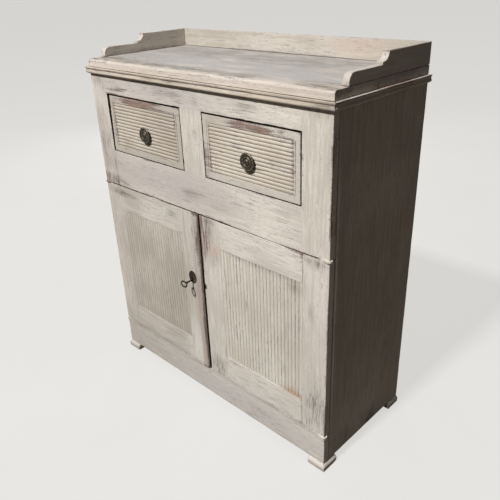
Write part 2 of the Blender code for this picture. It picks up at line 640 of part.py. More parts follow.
def make_hinge(hand, sign, level, case_piece, case_z, door_stile, door_z, pivot):
    """One pivot hinge: case_z and door_z are the faces that the plate and the leaf are let into."""
    way = math.copysign(1, case_z - door_z)
    proud = (SEAM_GAP - FIT) / 2
    spot = (sign * (X_SIDE - PIVOT_INSET), Y_FRONT + PIVOT_INSET)
    plate_face = case_z - way * proud
    plate_back = plate_face + way * PLATE_THICKNESS
    leaf_face = door_z + way * proud
    leaf_back = leaf_face - way * PLATE_THICKNESS
    pin_end = plate_face - way * PIN_LENGTH
    plan = hinge_outline(sign, 0)
    pocket = hinge_outline(sign, FIT)
    plate = make_piece(f"{hand}_{level}_hinge_plate", prism(plan, 2, plate_face, plate_back), IRON)
    join(plate, rod((*spot, plate_back - way * PLATE_THICKNESS / 2), (*spot, pin_end), PIN_RADIUS))
    cut(case_piece, prism(pocket, 2, case_z - way * OVERCUT, plate_back + way * FIT))
    leaf = make_piece(f"{hand}_door_{level}_leaf", prism(plan, 2, leaf_face, leaf_back), IRON, pivot)
    cut(leaf, rod((*spot, leaf_face + way * OVERCUT), (*spot, leaf_back - way * OVERCUT), PIN_RADIUS + FIT))
    cut(door_stile, prism(pocket, 2, door_z + way * OVERCUT, leaf_back - way * FIT))
    cut(door_stile, rod((*spot, door_z + way * OVERCUT), (*spot, pin_end - way * FIT), PIN_RADIUS + FIT))


# Doors: stiles and rails tenoned together, with a reeded panel held in their grooves
Y_GROOVE = Y_FRONT + (DOOR_THICKNESS - DOOR_TENON.thickness) / 2
Y_GROOVE_BACK = Y_GROOVE + DOOR_TENON.thickness
Z_PANEL_LOW = Z_DOOR_LOW + DOOR_BOTTOM_RAIL_HEIGHT
Z_PANEL_HIGH = Z_DOOR_HIGH - DOOR_TOP_RAIL_HEIGHT
GROOVE_DEPTH = PANEL_TONGUE + FIT


def lock_stile_outline():
    """Plan of the left door's lock stile: flat, with a quirk and a proud bead along its meeting edge."""
    edge = -X_DOOR_EDGE
    inner = edge - DOOR_STILE_WIDTH
    bead_right = edge - BEAD_MARGIN
    bead_left = bead_right - BEAD_WIDTH
    bead_middle = (bead_left + bead_right) / 2
    bead = arc((bead_middle, Y_FRONT), (BEAD_WIDTH / 2, BEAD_PROUD), 180, 360, BEAD_STEPS)
    quirk = [(bead_left - QUIRK_WIDTH, Y_FRONT), (bead_left - QUIRK_WIDTH / 2, Y_FRONT + QUIRK_DEPTH)]
    return [(inner, Y_FRONT)] + quirk + bead + [(edge, Y_FRONT), (edge, Y_DOOR_BACK), (inner, Y_DOOR_BACK)]


def panel_outline(low_x, high_x):
    """Plan of a reeded panel between two frame edges: a plain back, a tongue at each side, reeds between."""
    y_tongue = Y_GROOVE + FIT
    y_back = Y_GROOVE_BACK - FIT
    reeds = reed_points(high_x - FIT, low_x + FIT, PANEL_REED_PITCH, Y_FRONT + REED_RECESS, REED_DEPTH, 1)
    back = [(low_x - PANEL_TONGUE, y_back), (high_x + PANEL_TONGUE, y_back)]
    right_tongue = [(high_x + PANEL_TONGUE, y_tongue), (high_x - FIT, y_tongue)]
    left_tongue = [(low_x + FIT, y_tongue), (low_x - PANEL_TONGUE, y_tongue)]
    return back + right_tongue + reeds + left_tongue


def make_door(hand, sign):
    outer = sign * X_SIDE
    meeting = sign * X_DOOR_EDGE
    frame_outer = outer - sign * DOOR_STILE_WIDTH
    frame_meeting = meeting + sign * DOOR_STILE_WIDTH
    pivot = make_axis(f"{hand}_door_pivot", (sign * (X_SIDE - PIVOT_INSET), Y_FRONT + PIVOT_INSET, Z_PLINTH))
    hinge_board = block((outer, Y_FRONT, Z_DOOR_LOW), (frame_outer, Y_DOOR_BACK, Z_DOOR_HIGH))
    hinge_stile = make_piece(f"{hand}_door_hinge_stile", hinge_board, DOOR_PAINT, pivot)
    if hand == "left":
        inner_board = prism(lock_stile_outline(), 2, Z_DOOR_LOW, Z_DOOR_HIGH)
        inner_stile = make_piece("left_door_lock_stile", inner_board, DOOR_PAINT, pivot)
    else:
        inner_board = block((meeting, Y_FRONT, Z_DOOR_LOW), (frame_meeting, Y_DOOR_BACK, Z_DOOR_HIGH))
        inner_stile = make_piece("right_door_meeting_stile", inner_board, DOOR_PAINT, pivot)

    low_x, high_x = sorted((frame_outer, frame_meeting))
    rails = {"bottom": (Z_DOOR_LOW, Z_PANEL_LOW, Z_PANEL_LOW - GROOVE_DEPTH),
             "top": (Z_PANEL_HIGH, Z_DOOR_HIGH, Z_PANEL_HIGH + GROOVE_DEPTH)}
    for level, (low_z, high_z, groove_z) in rails.items():
        rail_box = ((low_x + FIT, Y_FRONT, low_z), (high_x - FIT, Y_DOOR_BACK, high_z))
        rail = make_piece(f"{hand}_door_{level}_rail", tenoned(*rail_box, 0, DOOR_TENON), DOOR_PAINT, pivot)
        inside_z = high_z + OVERCUT if level == "bottom" else low_z - OVERCUT
        cut(rail, block((low_x, Y_GROOVE, groove_z), (high_x, Y_GROOVE_BACK, inside_z)))
        mortise(hinge_stile, *rail_box, 0, sign, DOOR_TENON)
        mortise(inner_stile, *rail_box, 0, -sign, DOOR_TENON)
    for stile, edge, way in ((hinge_stile, frame_outer, sign), (inner_stile, frame_meeting, -sign)):
        cut(stile, block((edge - way * OVERCUT, Y_GROOVE, Z_PANEL_LOW - GROOVE_DEPTH),
                         (edge + way * GROOVE_DEPTH, Y_GROOVE_BACK, Z_PANEL_HIGH + GROOVE_DEPTH)))

    reeded = prism(panel_outline(low_x, high_x), 2, Z_PANEL_LOW - PANEL_TONGUE, Z_PANEL_HIGH + PANEL_TONGUE)
    panel = make_piece(f"{hand}_door_panel", reeded, DOOR_PAINT, pivot)
    for sight, outside in ((Z_PANEL_LOW + FIT, Z_PANEL_LOW - PANEL_TONGUE - OVERCUT),
                           (Z_PANEL_HIGH - FIT, Z_PANEL_HIGH + PANEL_TONGUE + OVERCUT)):
        cut(panel, block((low_x - OVERCUT, Y_FRONT - OVERCUT, sight),
                         (high_x + OVERCUT, Y_GROOVE + FIT, outside)))

    make_hinge(hand, sign, "upper", front_stiles[hand], Z_SEAM, hinge_stile, Z_DOOR_HIGH, pivot)
    make_hinge(hand, sign, "lower", plinth_rail, Z_PLINTH, hinge_stile, Z_DOOR_LOW, pivot)
    return pivot, inner_stile


left_door, lock_stile = make_door("left", -1)
right_door, meeting_stile = make_door("right", 1)

# Lock: a shallow case let into the back of the lock stile, open to the front, and the bolt that slides in it
X_SWEEP_LEFT = X_KEY - BIT_REACH - LOCK_CLEARANCE
X_SWEEP_RIGHT = X_KEY + BIT_REACH + LOCK_CLEARANCE
X_NECK = X_SWEEP_RIGHT + BOLT_NECK_LENGTH
X_BOLT_TIP = -X_DOOR_EDGE - BOLT_SETBACK
Z_TAIL_HIGH = Z_KEY - BIT_REACH - LOCK_CLEARANCE
Z_TAIL_LOW = Z_TAIL_HIGH - BOLT_TAIL_HEIGHT
Z_HEAD_LOW = Z_KEY - BOLT_HEAD_DROP - BOLT_HEAD_HEIGHT / 2
Z_HEAD_HIGH = Z_HEAD_LOW + BOLT_HEAD_HEIGHT
Y_LOCK = Y_FRONT + LOCK_COVER + FIT
Y_BIT_END = Y_FRONT + KEY_END - BIT_INSET
Y_BOLT = Y_BIT_END - BIT_LENGTH / 2 - BOLT_THICKNESS / 2
LOCK_LOW = Vector((X_SWEEP_LEFT - BOLT_DRAWN - LOCK_CLEARANCE - LOCK_WALL, Y_LOCK,
                   Z_TAIL_LOW - LOCK_CLEARANCE - LOCK_WALL))
LOCK_HIGH = Vector((-X_DOOR_EDGE - LOCK_EDGE_COVER, Y_DOOR_BACK,
                    Z_KEY + BIT_REACH + LOCK_CLEARANCE + LOCK_WALL))
WALL = Vector((LOCK_WALL, LOCK_WALL, LOCK_WALL))
GAP = Vector((FIT, FIT, FIT))

lock_case = make_piece("lock_case", block(LOCK_LOW, LOCK_HIGH), IRON, left_door)
cavity_low = LOCK_LOW + WALL
cavity_low.y = Y_LOCK - OVERCUT
cut(lock_case, block(cavity_low, LOCK_HIGH - WALL))
pocket_high = LOCK_HIGH + GAP
pocket_high.y = Y_DOOR_BACK + OVERCUT
cut(lock_stile, block(LOCK_LOW - GAP, pocket_high))

bolt_outline = [(X_SWEEP_LEFT, Z_TAIL_LOW), (X_NECK, Z_TAIL_LOW), (X_NECK, Z_HEAD_LOW),
                (X_BOLT_TIP, Z_HEAD_LOW), (X_BOLT_TIP, Z_HEAD_HIGH), (X_SWEEP_RIGHT, Z_HEAD_HIGH),
                (X_SWEEP_RIGHT, Z_TAIL_HIGH), (X_SWEEP_LEFT, Z_TAIL_HIGH)]
make_piece("lock_bolt", prism(bolt_outline, 1, Y_BOLT, Y_BOLT + BOLT_THICKNESS), IRON, left_door)
bolt_way = ((LOCK_HIGH.x - LOCK_WALL - OVERCUT, Y_BOLT - FIT, Z_HEAD_LOW - FIT),
            (-X_DOOR_EDGE + OVERCUT, Y_BOLT + BOLT_THICKNESS + FIT, Z_HEAD_HIGH + FIT))
cut(lock_case, block(*bolt_way))
cut(lock_stile, block(*bolt_way))
bolt_reach = X_BOLT_TIP + BOLT_THROW + MORTISE_PLAY
cut(meeting_stile, block((X_DOOR_EDGE - OVERCUT, Y_FRONT - OVERCUT, Z_HEAD_LOW - MORTISE_PLAY),
                         (bolt_reach, Y_BOLT + BOLT_THICKNESS + MORTISE_PLAY, Z_HEAD_HIGH + MORTISE_PLAY)))

# Oval escutcheon over the keyhole, whose slot stands above the key
escutcheon_centre = (X_KEY + ESCUTCHEON_SHIFT, Z_KEY + ESCUTCHEON_RAISE)
oval = arc(escutcheon_centre, (ESCUTCHEON_WIDTH / 2, ESCUTCHEON_HEIGHT / 2), 0, 360, OVAL_STEPS)[:-1]
plate_front = Y_FRONT - FIT - ESCUTCHEON_THICKNESS
escutcheon = make_piece("escutcheon", prism(oval, 1, plate_front, Y_FRONT - FIT), BRONZE, left_door)
hole_front = plate_front - OVERCUT
hole_back = Y_LOCK + OVERCUT
half_slot = BIT_THICKNESS / 2 + KEY_PLAY
for holed in (escutcheon, lock_stile):
    cut(holed, rod((X_KEY, hole_front, Z_KEY), (X_KEY, hole_back, Z_KEY), KEY_RADIUS + KEY_PLAY))
    cut(holed, block((X_KEY - half_slot, hole_front, Z_KEY),
                     (X_KEY + half_slot, hole_back, Z_KEY + BIT_REACH + KEY_PLAY)))

# Key: a shank with a collar, an oval wire bow at its head, and a bit in the lock, opposite the bow's low side
key_axis = make_axis("key_axis", (X_KEY, Y_FRONT, Z_KEY), left_door)
bow_root = KEY_SHANK + BOW_WIRE_RADIUS
shank = [(0, -KEY_END), (KEY_RADIUS, -KEY_END), (KEY_RADIUS, KEY_SHANK - COLLAR_LENGTH),
         (COLLAR_RADIUS, KEY_SHANK - COLLAR_LENGTH / 2), (KEY_RADIUS, KEY_SHANK), (KEY_RADIUS, bow_root),
         (0, bow_root)]
key = make_piece("key", turned(shank, (X_KEY, Y_FRONT, Z_KEY), ROD_SIDES), IRON, key_axis)
tilt = Matrix.Translation((X_KEY, Y_FRONT, Z_KEY)) @ Matrix.Rotation(-math.radians(BOW_TILT), 4, "Y")

bow = bmesh.new()
upright = Matrix.Rotation(math.radians(90), 4, "X")
wire_spot = Matrix.Translation((BOW_WIDTH / 2 - BOW_WIRE_RADIUS, 0, 0)) @ upright
bmesh.ops.create_circle(bow, segments=BOW_SIDES, radius=BOW_WIRE_RADIUS, matrix=wire_spot)
bmesh.ops.spin(bow, geom=bow.verts[:] + bow.edges[:], cent=(0, 0, 0), axis=(0, 0, 1), angle=math.tau,
               steps=BOW_STEPS, use_merge=True)
bmesh.ops.remove_doubles(bow, verts=bow.verts, dist=MERGE)
bmesh.ops.scale(bow, verts=bow.verts, vec=(1, BOW_LENGTH / BOW_WIDTH, 1))
bow_middle = Matrix.Translation((0, -KEY_SHANK - BOW_LENGTH / 2, 0))
bmesh.ops.transform(bow, matrix=tilt @ bow_middle, verts=bow.verts)
join(key, bow)

bit_end = KEY_END - BIT_INSET
bit = block((-BIT_REACH, bit_end - BIT_LENGTH, -BIT_THICKNESS / 2),
            (-KEY_RADIUS / 2, bit_end, BIT_THICKNESS / 2))
bmesh.ops.transform(bit, matrix=tilt, verts=bit.verts)
join(key, bit)
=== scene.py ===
"""Looks of the painted buffet cabinet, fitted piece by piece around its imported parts."""
import math

import bmesh
import bpy
from mathutils import Matrix, Vector, noise


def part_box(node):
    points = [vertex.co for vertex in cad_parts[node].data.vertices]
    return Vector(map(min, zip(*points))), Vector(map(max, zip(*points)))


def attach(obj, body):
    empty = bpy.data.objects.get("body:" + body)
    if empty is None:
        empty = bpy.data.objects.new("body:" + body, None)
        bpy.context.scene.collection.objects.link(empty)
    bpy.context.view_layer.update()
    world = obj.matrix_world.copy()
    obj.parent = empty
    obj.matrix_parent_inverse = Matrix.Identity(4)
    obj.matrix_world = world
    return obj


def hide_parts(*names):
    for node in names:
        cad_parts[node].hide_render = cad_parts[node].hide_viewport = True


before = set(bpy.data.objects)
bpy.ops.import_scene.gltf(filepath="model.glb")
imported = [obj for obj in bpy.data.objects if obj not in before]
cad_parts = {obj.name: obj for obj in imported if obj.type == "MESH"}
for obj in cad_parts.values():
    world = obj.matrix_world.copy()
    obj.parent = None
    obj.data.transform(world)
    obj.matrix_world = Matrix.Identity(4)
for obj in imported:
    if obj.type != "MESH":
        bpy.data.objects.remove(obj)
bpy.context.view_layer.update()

# Case sides: an upright pine board on each side, painted on the outside and left bare within.
# The boards run down to the feet, and are rebated at the back for the back boards.


def add_block(bm, low, high):
    """Adds a squared block between two opposite corners, and gives its corner points."""
    low = Vector(low)
    high = Vector(high)
    place = Matrix.Translation((low + high) / 2) @ Matrix.Diagonal((*(high - low), 1))
    return bmesh.ops.create_cube(bm, size=1, matrix=place)["verts"]


def block(low, high):
    """A squared piece of wood between two opposite corners."""
    bm = bmesh.new()
    add_block(bm, low, high)
    return bm


def saw(bm, axis, level):
    """Cuts a line round a piece, square to an axis."""
    spot = Vector()
    spot[axis] = level
    way = Vector()
    way[axis] = 1
    geom = bm.verts[:] + bm.edges[:] + bm.faces[:]
    bmesh.ops.bisect_plane(bm, geom=geom, dist=0.000005, plane_co=spot, plane_no=way)


def cut_out(bm, low, high, open_sides):
    """Cuts a squared recess into a piece. Each open side is the axis and direction that the recess opens to."""
    def is_open(face):
        return any(face.normal[axis] * way > 0.5 for axis, way in open_sides)

    for axis in range(3):
        for level in (low[axis], high[axis]):
            saw(bm, axis, level)
    spare = 0.00002
    doomed = []
    for face in bm.faces:
        middle = face.calc_center_median()
        if is_open(face) and all(low[axis] - spare < middle[axis] < high[axis] + spare for axis in range(3)):
            doomed.append(face)
    bmesh.ops.delete(bm, geom=doomed, context="FACES")
    walls = list({face for vert in add_block(bm, low, high) for face in vert.link_faces})
    for face in walls:
        face.normal_update()
    gone = [face for face in walls if is_open(face)]
    bmesh.ops.reverse_faces(bm, faces=[face for face in walls if face not in gone])
    bmesh.ops.delete(bm, geom=gone, context="FACES")
    bmesh.ops.remove_doubles(bm, verts=bm.verts, dist=0.000002)


def ease(bm, arris, bend=50, left_sharp=None):
    """Rounds over every arris that is sharper than a bend in degrees, apart from those that pass a test."""
    bm.normal_update()
    sharp = [edge for edge in bm.edges if edge.is_manifold and edge.calc_face_angle_signed() > math.radians(bend)]
    if left_sharp:
        sharp = [edge for edge in sharp if not left_sharp((edge.verts[0].co + edge.verts[1].co) / 2)]
    bmesh.ops.bevel(bm, geom=sharp, offset=arris, affect="EDGES", segments=2, profile=0.5, material=-1)


def slice_up(bm, axis, start, end, count):
    """Cuts a piece across into equal slices between two levels."""
    for cut in range(1, count):
        saw(bm, axis, start + (end - start) * cut / count)


def divide(bm, step):
    """Cuts a piece across, about every step along each axis, so that it can take uneven work and marks."""
    for axis in range(3):
        levels = [vert.co[axis] for vert in bm.verts]
        slice_up(bm, axis, min(levels), max(levels), int((max(levels) - min(levels)) / step))


def plank(low, high, arris, step):
    """A plain board with eased arrises, cut across finely enough to take uneven work and marks."""
    bm = block(low, high)
    ease(bm, arris)
    for axis in range(3):
        along = [edge for edge in bm.edges if abs(edge.verts[0].co[axis] - edge.verts[1].co[axis]) > step]
        if along:
            cuts = int(along[0].calc_length() / step)
            bmesh.ops.subdivide_edges(bm, edges=along, cuts=cuts, use_grid_fill=True)
    return bm


def age(bm, hollow, chip, spots=()):
    """Ages a piece: marks bare arrises and dirty corners, adds spots, and leaves the surface a little uneven.

    A spot is a mark's name, its centre, its reach along X, Y and Z, and its strength.
    """
    bm.normal_update()
    marks = {name: bm.verts.layers.float.new(name) for name in ("wear", "grime", "tint")}
    for edge in bm.edges:
        if edge.is_manifold:
            bend = edge.calc_face_angle_signed() / math.radians(45)
            mark = marks["wear"] if bend > 0 else marks["grime"]
            if abs(bend) > 0.35:
                for vert in edge.verts:
                    vert[mark] = max(vert[mark], min(abs(bend), 1))
    for name, centre, reach, strength in spots:
        for vert in bm.verts:
            away = Vector((vert.co[axis] - centre[axis]) / reach[axis] for axis in range(3)).length
            vert[marks[name]] += strength * max(0, 1 - away * away)
    for vert in bm.verts:
        sink = hollow * (0.5 + 0.35 * noise.noise(vert.co * 7) + 0.15 * noise.noise(vert.co * 38))
        if vert[marks["wear"]] > 0.4:
            sink += chip * max(0, noise.noise(vert.co * 60) + 0.6 * noise.noise(vert.co * 170) - 0.1)
        vert.co -= vert.normal * sink


def mesh_of(name, bm):
    """A finished piece's mesh."""
    mesh = bpy.data.meshes.new(name)
    bm.to_mesh(mesh)
    bm.free()
    return mesh


def set_up(name, data):
    """A new object in the scene."""
    thing = bpy.data.objects.new(name, data)
    bpy.context.scene.collection.objects.link(thing)
    return thing


def put(name, bm, materials, body, nodes, choose=None):
    """Puts a finished piece in the cabinet. A test of a face's direction and place can give its material's number."""
    bm.normal_update()
    for face in bm.faces:
        face.smooth = True
        if choose:
            face.material_index = int(choose(face.normal, face.calc_center_median()))
    for edge in bm.edges:
        edge.smooth = not edge.is_manifold or edge.calc_face_angle() < math.radians(60)
    mesh = mesh_of(name, bm)
    for material in materials:
        mesh.materials.append(material)
    piece = set_up(name, mesh)
    piece.modifiers.new("flat_faces", "WEIGHTED_NORMAL").keep_sharp = True
    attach(piece, body)
    if nodes:
        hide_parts(*nodes)


def tone(red, green, blue):
    """A colour given on a scale of 255, as light."""
    parts = []
    for value in (red, green, blue):
        value = value / 255
        parts.append(value / 12.92 if value < 0.04045 else ((value + 0.055) / 1.055) ** 2.4)
    return (*parts, 1)


def add(tree, kind, inputs, **settings):
    """A shader node, with its inputs set or linked."""
    node = tree.nodes.new(kind)
    for key, value in settings.items():
        setattr(node, key, value)
    for key, value in inputs.items():
        if isinstance(value, bpy.types.NodeSocket):
            tree.links.new(value, node.inputs[key])
        else:
            node.inputs[key].default_value = value
    return node


def mix(share, first, second):
    """One colour over another, by a share."""
    return add(share.id_data, "ShaderNodeMix", {0: share, 6: first, 7: second}, data_type="RGBA").outputs[2]


def calc(operation, first, second):
    """A value worked out from a value in the tree and a second one."""
    return add(first.id_data, "ShaderNodeMath", {0: first, 1: second}, operation=operation).outputs[0]


def times(first, second):
    """The product of two values."""
    return calc("MULTIPLY", first, second)


def plus(first, second):
    """The sum of two values."""
    return calc("ADD", first, second)


def weigh(*shares):
    """The sum of several values, each times its weight."""
    total = times(*shares[0])
    for share in shares[1:]:
        total = plus(total, times(*share))
    return total


def rise(value, low, high):
    """A smooth step from 0 at low to 1 at high."""
    inputs = {0: value, 1: low, 2: high, 3: 0.0, 4: 1.0}
    return add(value.id_data, "ShaderNodeMapRange", inputs, interpolation_type="SMOOTHSTEP").outputs[0]


def cloud(spot, scale, detail, roughness=0.55):
    """A cloudy pattern of that many patches to the metre."""
    inputs = {"Vector": spot, "Scale": scale, "Detail": detail, "Roughness": roughness}
    return add(spot.id_data, "ShaderNodeTexNoise", inputs).outputs[0]


def drawn(spot, grain, along, across):
    """The place on a piece, drawn out along the grain: patches to the metre along and across it."""
    scale = [across, across, across]
    scale["xyz".index(grain)] = along
    return add(spot.id_data, "ShaderNodeMapping", {"Vector": spot, "Scale": scale}).outputs[0]


def start_material(name):
    """A new material, with its tree, its shader and the place on the piece."""
    material = bpy.data.materials.new(name)
    material.use_nodes = True
    tree = material.node_tree
    spot = add(tree, "ShaderNodeTexCoord", {}).outputs["Object"]
    return material, tree, tree.nodes["Principled BSDF"], spot


def surface(tree, shader, colour, rough, height, strength, depth):
    """Gives a shader its colour, its roughness and a fine relief."""
    relief = add(tree, "ShaderNodeBump", {"Strength": strength, "Distance": depth, "Height": height})
    for name, value in (("Base Color", colour), ("Roughness", rough), ("Normal", relief.outputs[0])):
        tree.links.new(value, shader.inputs[name])


def between(pattern, low, high):
    """A roughness between two values, by a pattern."""
    return add(pattern.id_data, "ShaderNodeMapRange", {0: pattern, 1: 0.3, 2: 0.7, 3: low, 4: high}).outputs[0]


def mark_of(tree, name):
    """How strongly a mark is on the piece."""
    return add(tree, "ShaderNodeAttribute", {}, attribute_name=name).outputs["Fac"]


WOOD_LIGHT = tone(150, 124, 104)
WOOD_DARK = tone(94, 72, 58)
UNDERCOAT = tone(172, 164, 160)
CRAZE = tone(136, 122, 108)
# This dark colour is dirt, and also the painted shadow under the front moulding.
DIRT_AND_SHADE = tone(108, 100, 88)


def paint(name, light, dark, tint, grain, wear=0.55, grime=0.5, wood=(WOOD_LIGHT, WOOD_DARK)):
    """Chalky old paint on pine: brushed along the grain, dirty in the corners and worn to the wood on the arrises."""
    light, dark, tint = (tone(*colour) for colour in (light, dark, tint))
    material, tree, shader, spot = start_material(name)
    broad = cloud(spot, 3.5, 2)
    patch = cloud(drawn(spot, grain, 8, 24), 1, 5, 0.6)
    streak = cloud(drawn(spot, grain, 8, 130), 1, 5, 0.62)
    fine = cloud(drawn(spot, grain, 32, 420), 1, 4, 0.55)
    speck = cloud(spot, 240, 4, 0.6)
    hair = cloud(drawn(spot, grain, 55, 330), 1, 2, 0.5)

    level = weigh((broad, 0.3), (patch, 0.25), (streak, 0.3), (fine, 0.15))
    colour = mix(rise(level, 0.42, 0.58), dark, light)
    hue = times(calc("MINIMUM", mark_of(tree, "tint"), 1.0), rise(patch, 0.2, 0.52))
    colour = mix(hue, colour, tint)
    drag = weigh((patch, 0.5), (streak, 0.5))
    colour = mix(times(rise(drag, 0.53, 0.66), 0.5), colour, UNDERCOAT)
    crazed = times(rise(fine, 0.57, 0.70), times(rise(broad, 0.3, 0.6), 0.75))
    colour = mix(crazed, colour, CRAZE)
    from_crack = calc("ABSOLUTE", calc("SUBTRACT", hair, 0.5), 0.0)
    cracked = times(rise(from_crack, 0.016, 0.004), rise(patch, 0.40, 0.62))
    colour = mix(times(cracked, 0.65), colour, CRAZE)
    chalk = times(rise(speck, 0.44, 0.34), 0.25)
    colour = mix(chalk, colour, light)

    patchy = times(rise(drag, 0.58, 0.72), grime)
    # The grime mark carries dirt, and in places painted shade, such as the shadow under the moulding.
    soiled_and_shaded = times(mark_of(tree, "grime"), rise(drag, 0.36, 0.56))
    soiled_and_shaded = times(soiled_and_shaded, plus(times(rise(fine, 0.4, 0.6), 0.8), 0.3))
    dirt = plus(soiled_and_shaded, patchy)
    flecks = times(rise(speck, 0.63, 0.72), grime)
    dirt = calc("MINIMUM", plus(dirt, times(flecks, 0.8)), 0.9)
    colour = mix(dirt, colour, DIRT_AND_SHADE)

    uneven = [(calc("SUBTRACT", pattern, 0.5), weight)
              for pattern, weight in ((streak, 1.7), (patch, 0.9), (speck, 0.8))]
    worn = weigh((mark_of(tree, "wear"), wear), *uneven)
    thin = rise(worn, 0.30, 0.48)
    bare = rise(worn, 0.42, 0.62)
    colour = mix(thin, colour, UNDERCOAT)
    grained = mix(rise(fine, 0.35, 0.65), wood[1], wood[0])
    colour = mix(times(bare, 0.8), colour, grained)

    height = weigh((fine, 0.4), (streak, 0.7), (speck, 0.35))
    height = calc("SUBTRACT", height, times(thin, 0.5))
    surface(tree, shader, colour, between(patch, 0.62, 0.82), height, strength=0.6, depth=0.0007)
    shader.inputs["Specular IOR Level"].default_value = 0.12
    return material


def pine(name, light, dark, grain, seed):
    """Old unpainted pine: yearly rings drawn out along the grain, darkened and dusty."""
    material, tree, shader, spot = start_material(name)
    moved = add(tree, "ShaderNodeMapping", {"Vector": spot, "Location": (seed, seed * 0.7, seed * 1.3)}).outputs[0]
    rings = cloud(drawn(moved, grain, 0.7, 11), 1, 2, 0.4)
    rings = calc("SINE", times(rings, 85), 0.0)
    rings = rise(rings, -1.0, 1.0)
    fine = cloud(drawn(spot, grain, 22, 700), 1, 3)
    dusk = cloud(spot, 5, 4, 0.6)
    level = weigh((rings, 0.18), (fine, 0.7))
    colour = mix(rise(level, 0.15, 0.80), light, dark)
    stain = times(rise(dusk, 0.45, 0.75), 0.4)
    colour = mix(stain, colour, dark)
    dirt = times(calc("MINIMUM", mark_of(tree, "grime"), 1.0), 0.6)
    colour = mix(dirt, colour, DIRT_AND_SHADE)
    height = weigh((fine, 0.6), (rings, 0.2))
    surface(tree, shader, colour, between(fine, 0.55, 0.75), height, strength=0.5, depth=0.0005)
    shader.inputs["Specular IOR Level"].default_value = 0.3
    return material


PINE_LIGHT = tone(172, 136, 96)
PINE_DARK = tone(118, 84, 54)
side_paint = paint("side_paint", (204, 195, 182), (168, 158, 145), (250, 248, 242), "z", wear=0.6, grime=0.6)
upright_pine = pine("upright_pine", PINE_LIGHT, PINE_DARK, "z", seed=0.3)
HANDS = (("left", -1), ("right", 1))
PALE_LINE_Y = -0.136
REBATE_PLAY = 0.0003
for hand, sign in HANDS:
    low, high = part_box(f"{hand}_side")
    back_low, back_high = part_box(f"{hand}_back_board")
    bm = block(low, high)
    rebate_low = back_low.x - REBATE_PLAY if sign < 0 else low.x
    rebate_high = high.x if sign < 0 else back_high.x + REBATE_PLAY
    cut_out(bm, (rebate_low, back_low.y, low.z), (rebate_high, high.y, high.z),
            [(0, -sign), (1, 1), (2, 1), (2, -1)])
    ease(bm, arris=0.0012)
    divide(bm, step=0.024)
    # A near-white line is painted down each side just behind its front edge.
    for line in (-0.003, -0.0015, 0.0015, 0.003):
        saw(bm, 1, PALE_LINE_Y + line)
    outer = high.x if sign > 0 else low.x
    marks = [("tint", (outer, PALE_LINE_Y, 0.50), (0.004, 0.003, 0.44), 1.5),
             ("grime", (outer, -0.12, 0.5), (0.03, 0.012, 0.6), 0.4),
             ("grime", (outer, 0.0, 0.03), (0.03, 0.3, 0.06), 0.6),
             ("wear", (outer, 0.08, 0.05), (0.03, 0.12, 0.05), 0.5)]
    age(bm, hollow=0.0005, chip=0.001, spots=marks)
    put(f"{hand}_case_side", bm, [side_paint, upright_pine], "case", [f"{hand}_side"],
        lambda way, spot: way.x * sign < -0.5)

# Back boards: two upright boards of rough pine, never painted, nailed into the rebates of the sides.
# They meet in the middle of the back.
BACK_JOINT = 0.0007
for hand, sign in HANDS:
    low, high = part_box(f"{hand}_back_board")
    if sign < 0:
        high.x = -BACK_JOINT
    else:
        low.x = BACK_JOINT
    bm = plank(low, high, arris=0.0015, step=0.03)
    age(bm, hollow=0.0009, chip=0.001)
    back_pine = pine(f"{hand}_back_pine", tone(164, 136, 104), tone(120, 94, 68), "z", seed=1.7 + sign)
    put(f"{hand}_back_boarding", bm, [back_pine], "case", [f"{hand}_back_board"])

# Floor board and shelf: bare pine boards let into grooves in the sides.
# Their front arrises are rubbed round by use.
level_pine = pine("level_pine", PINE_LIGHT, PINE_DARK, "x", seed=2.9)
for name, board in (("cupboard_floor", "floor_board"), ("cupboard_shelf", "shelf")):
    low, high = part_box(board)
    bm = plank(low, high, arris=0.0015, step=0.03)
    age(bm, hollow=0.0005, chip=0.001)
    put(name, bm, [level_pine], "case", [board])

# Front frame: stiles, rails and the drawer divider, tenoned together and painted over as one.
# The two drawer openings go right through it.
FRONT_Y, FRAME_BACK_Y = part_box("mid_rail")[0].y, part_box("mid_rail")[1].y


def hollow_out(bm, x_low, x_high, z_low, z_high, arris, front, back, depth=0):
    """Cuts a squared hole with eased arrises into a board that faces the front: to a depth, or right through."""
    slack = 0.00001
    for axis, level in ((0, x_low - arris), (0, x_high + arris), (2, z_low - arris), (2, z_high + arris)):
        saw(bm, axis, level)
    bm.normal_update()
    rims = []
    for face_y, inward in ((front, 1), (back, -1))[:1 if depth else 2]:
        inside = set()
        for face in bm.faces:
            middle = face.calc_center_median()
            if abs(face.normal.y) > 0.9 and abs(middle.y - face_y) < 0.0005:
                if x_low - arris < middle.x < x_high + arris and z_low - arris < middle.z < z_high + arris:
                    inside.add(face)
        rim = [edge for face in inside for edge in face.edges if len(inside.intersection(edge.link_faces)) == 1]
        bmesh.ops.delete(bm, geom=list(inside), context="FACES")
        rings = [(arris * (1 - math.sin(bend)), arris * (1 - math.cos(bend))) for bend in (math.pi / 4, math.pi / 2)]
        if depth:
            rings.append((0, depth))
        for spread, sunk in rings:
            made = bmesh.ops.extrude_edge_only(bm, edges=rim)["geom"]
            for vert in made:
                if isinstance(vert, bmesh.types.BMVert):
                    if vert.co.x < x_low + slack:
                        vert.co.x = x_low - spread
                    elif vert.co.x > x_high - slack:
                        vert.co.x = x_high + spread
                    if vert.co.z < z_low + slack:
                        vert.co.z = z_low - spread
                    elif vert.co.z > z_high - slack:
                        vert.co.z = z_high + spread
                    vert.co.y = face_y + inward * sunk
            rim = [edge for edge in made if isinstance(edge, bmesh.types.BMEdge) and edge.is_boundary]
        rims += rim
    if depth:
        bmesh.ops.contextual_create(bm, geom=rims)
    else:
        bmesh.ops.bridge_loops(bm, edges=rims)
    bmesh.ops.recalc_face_normals(bm, faces=bm.faces)


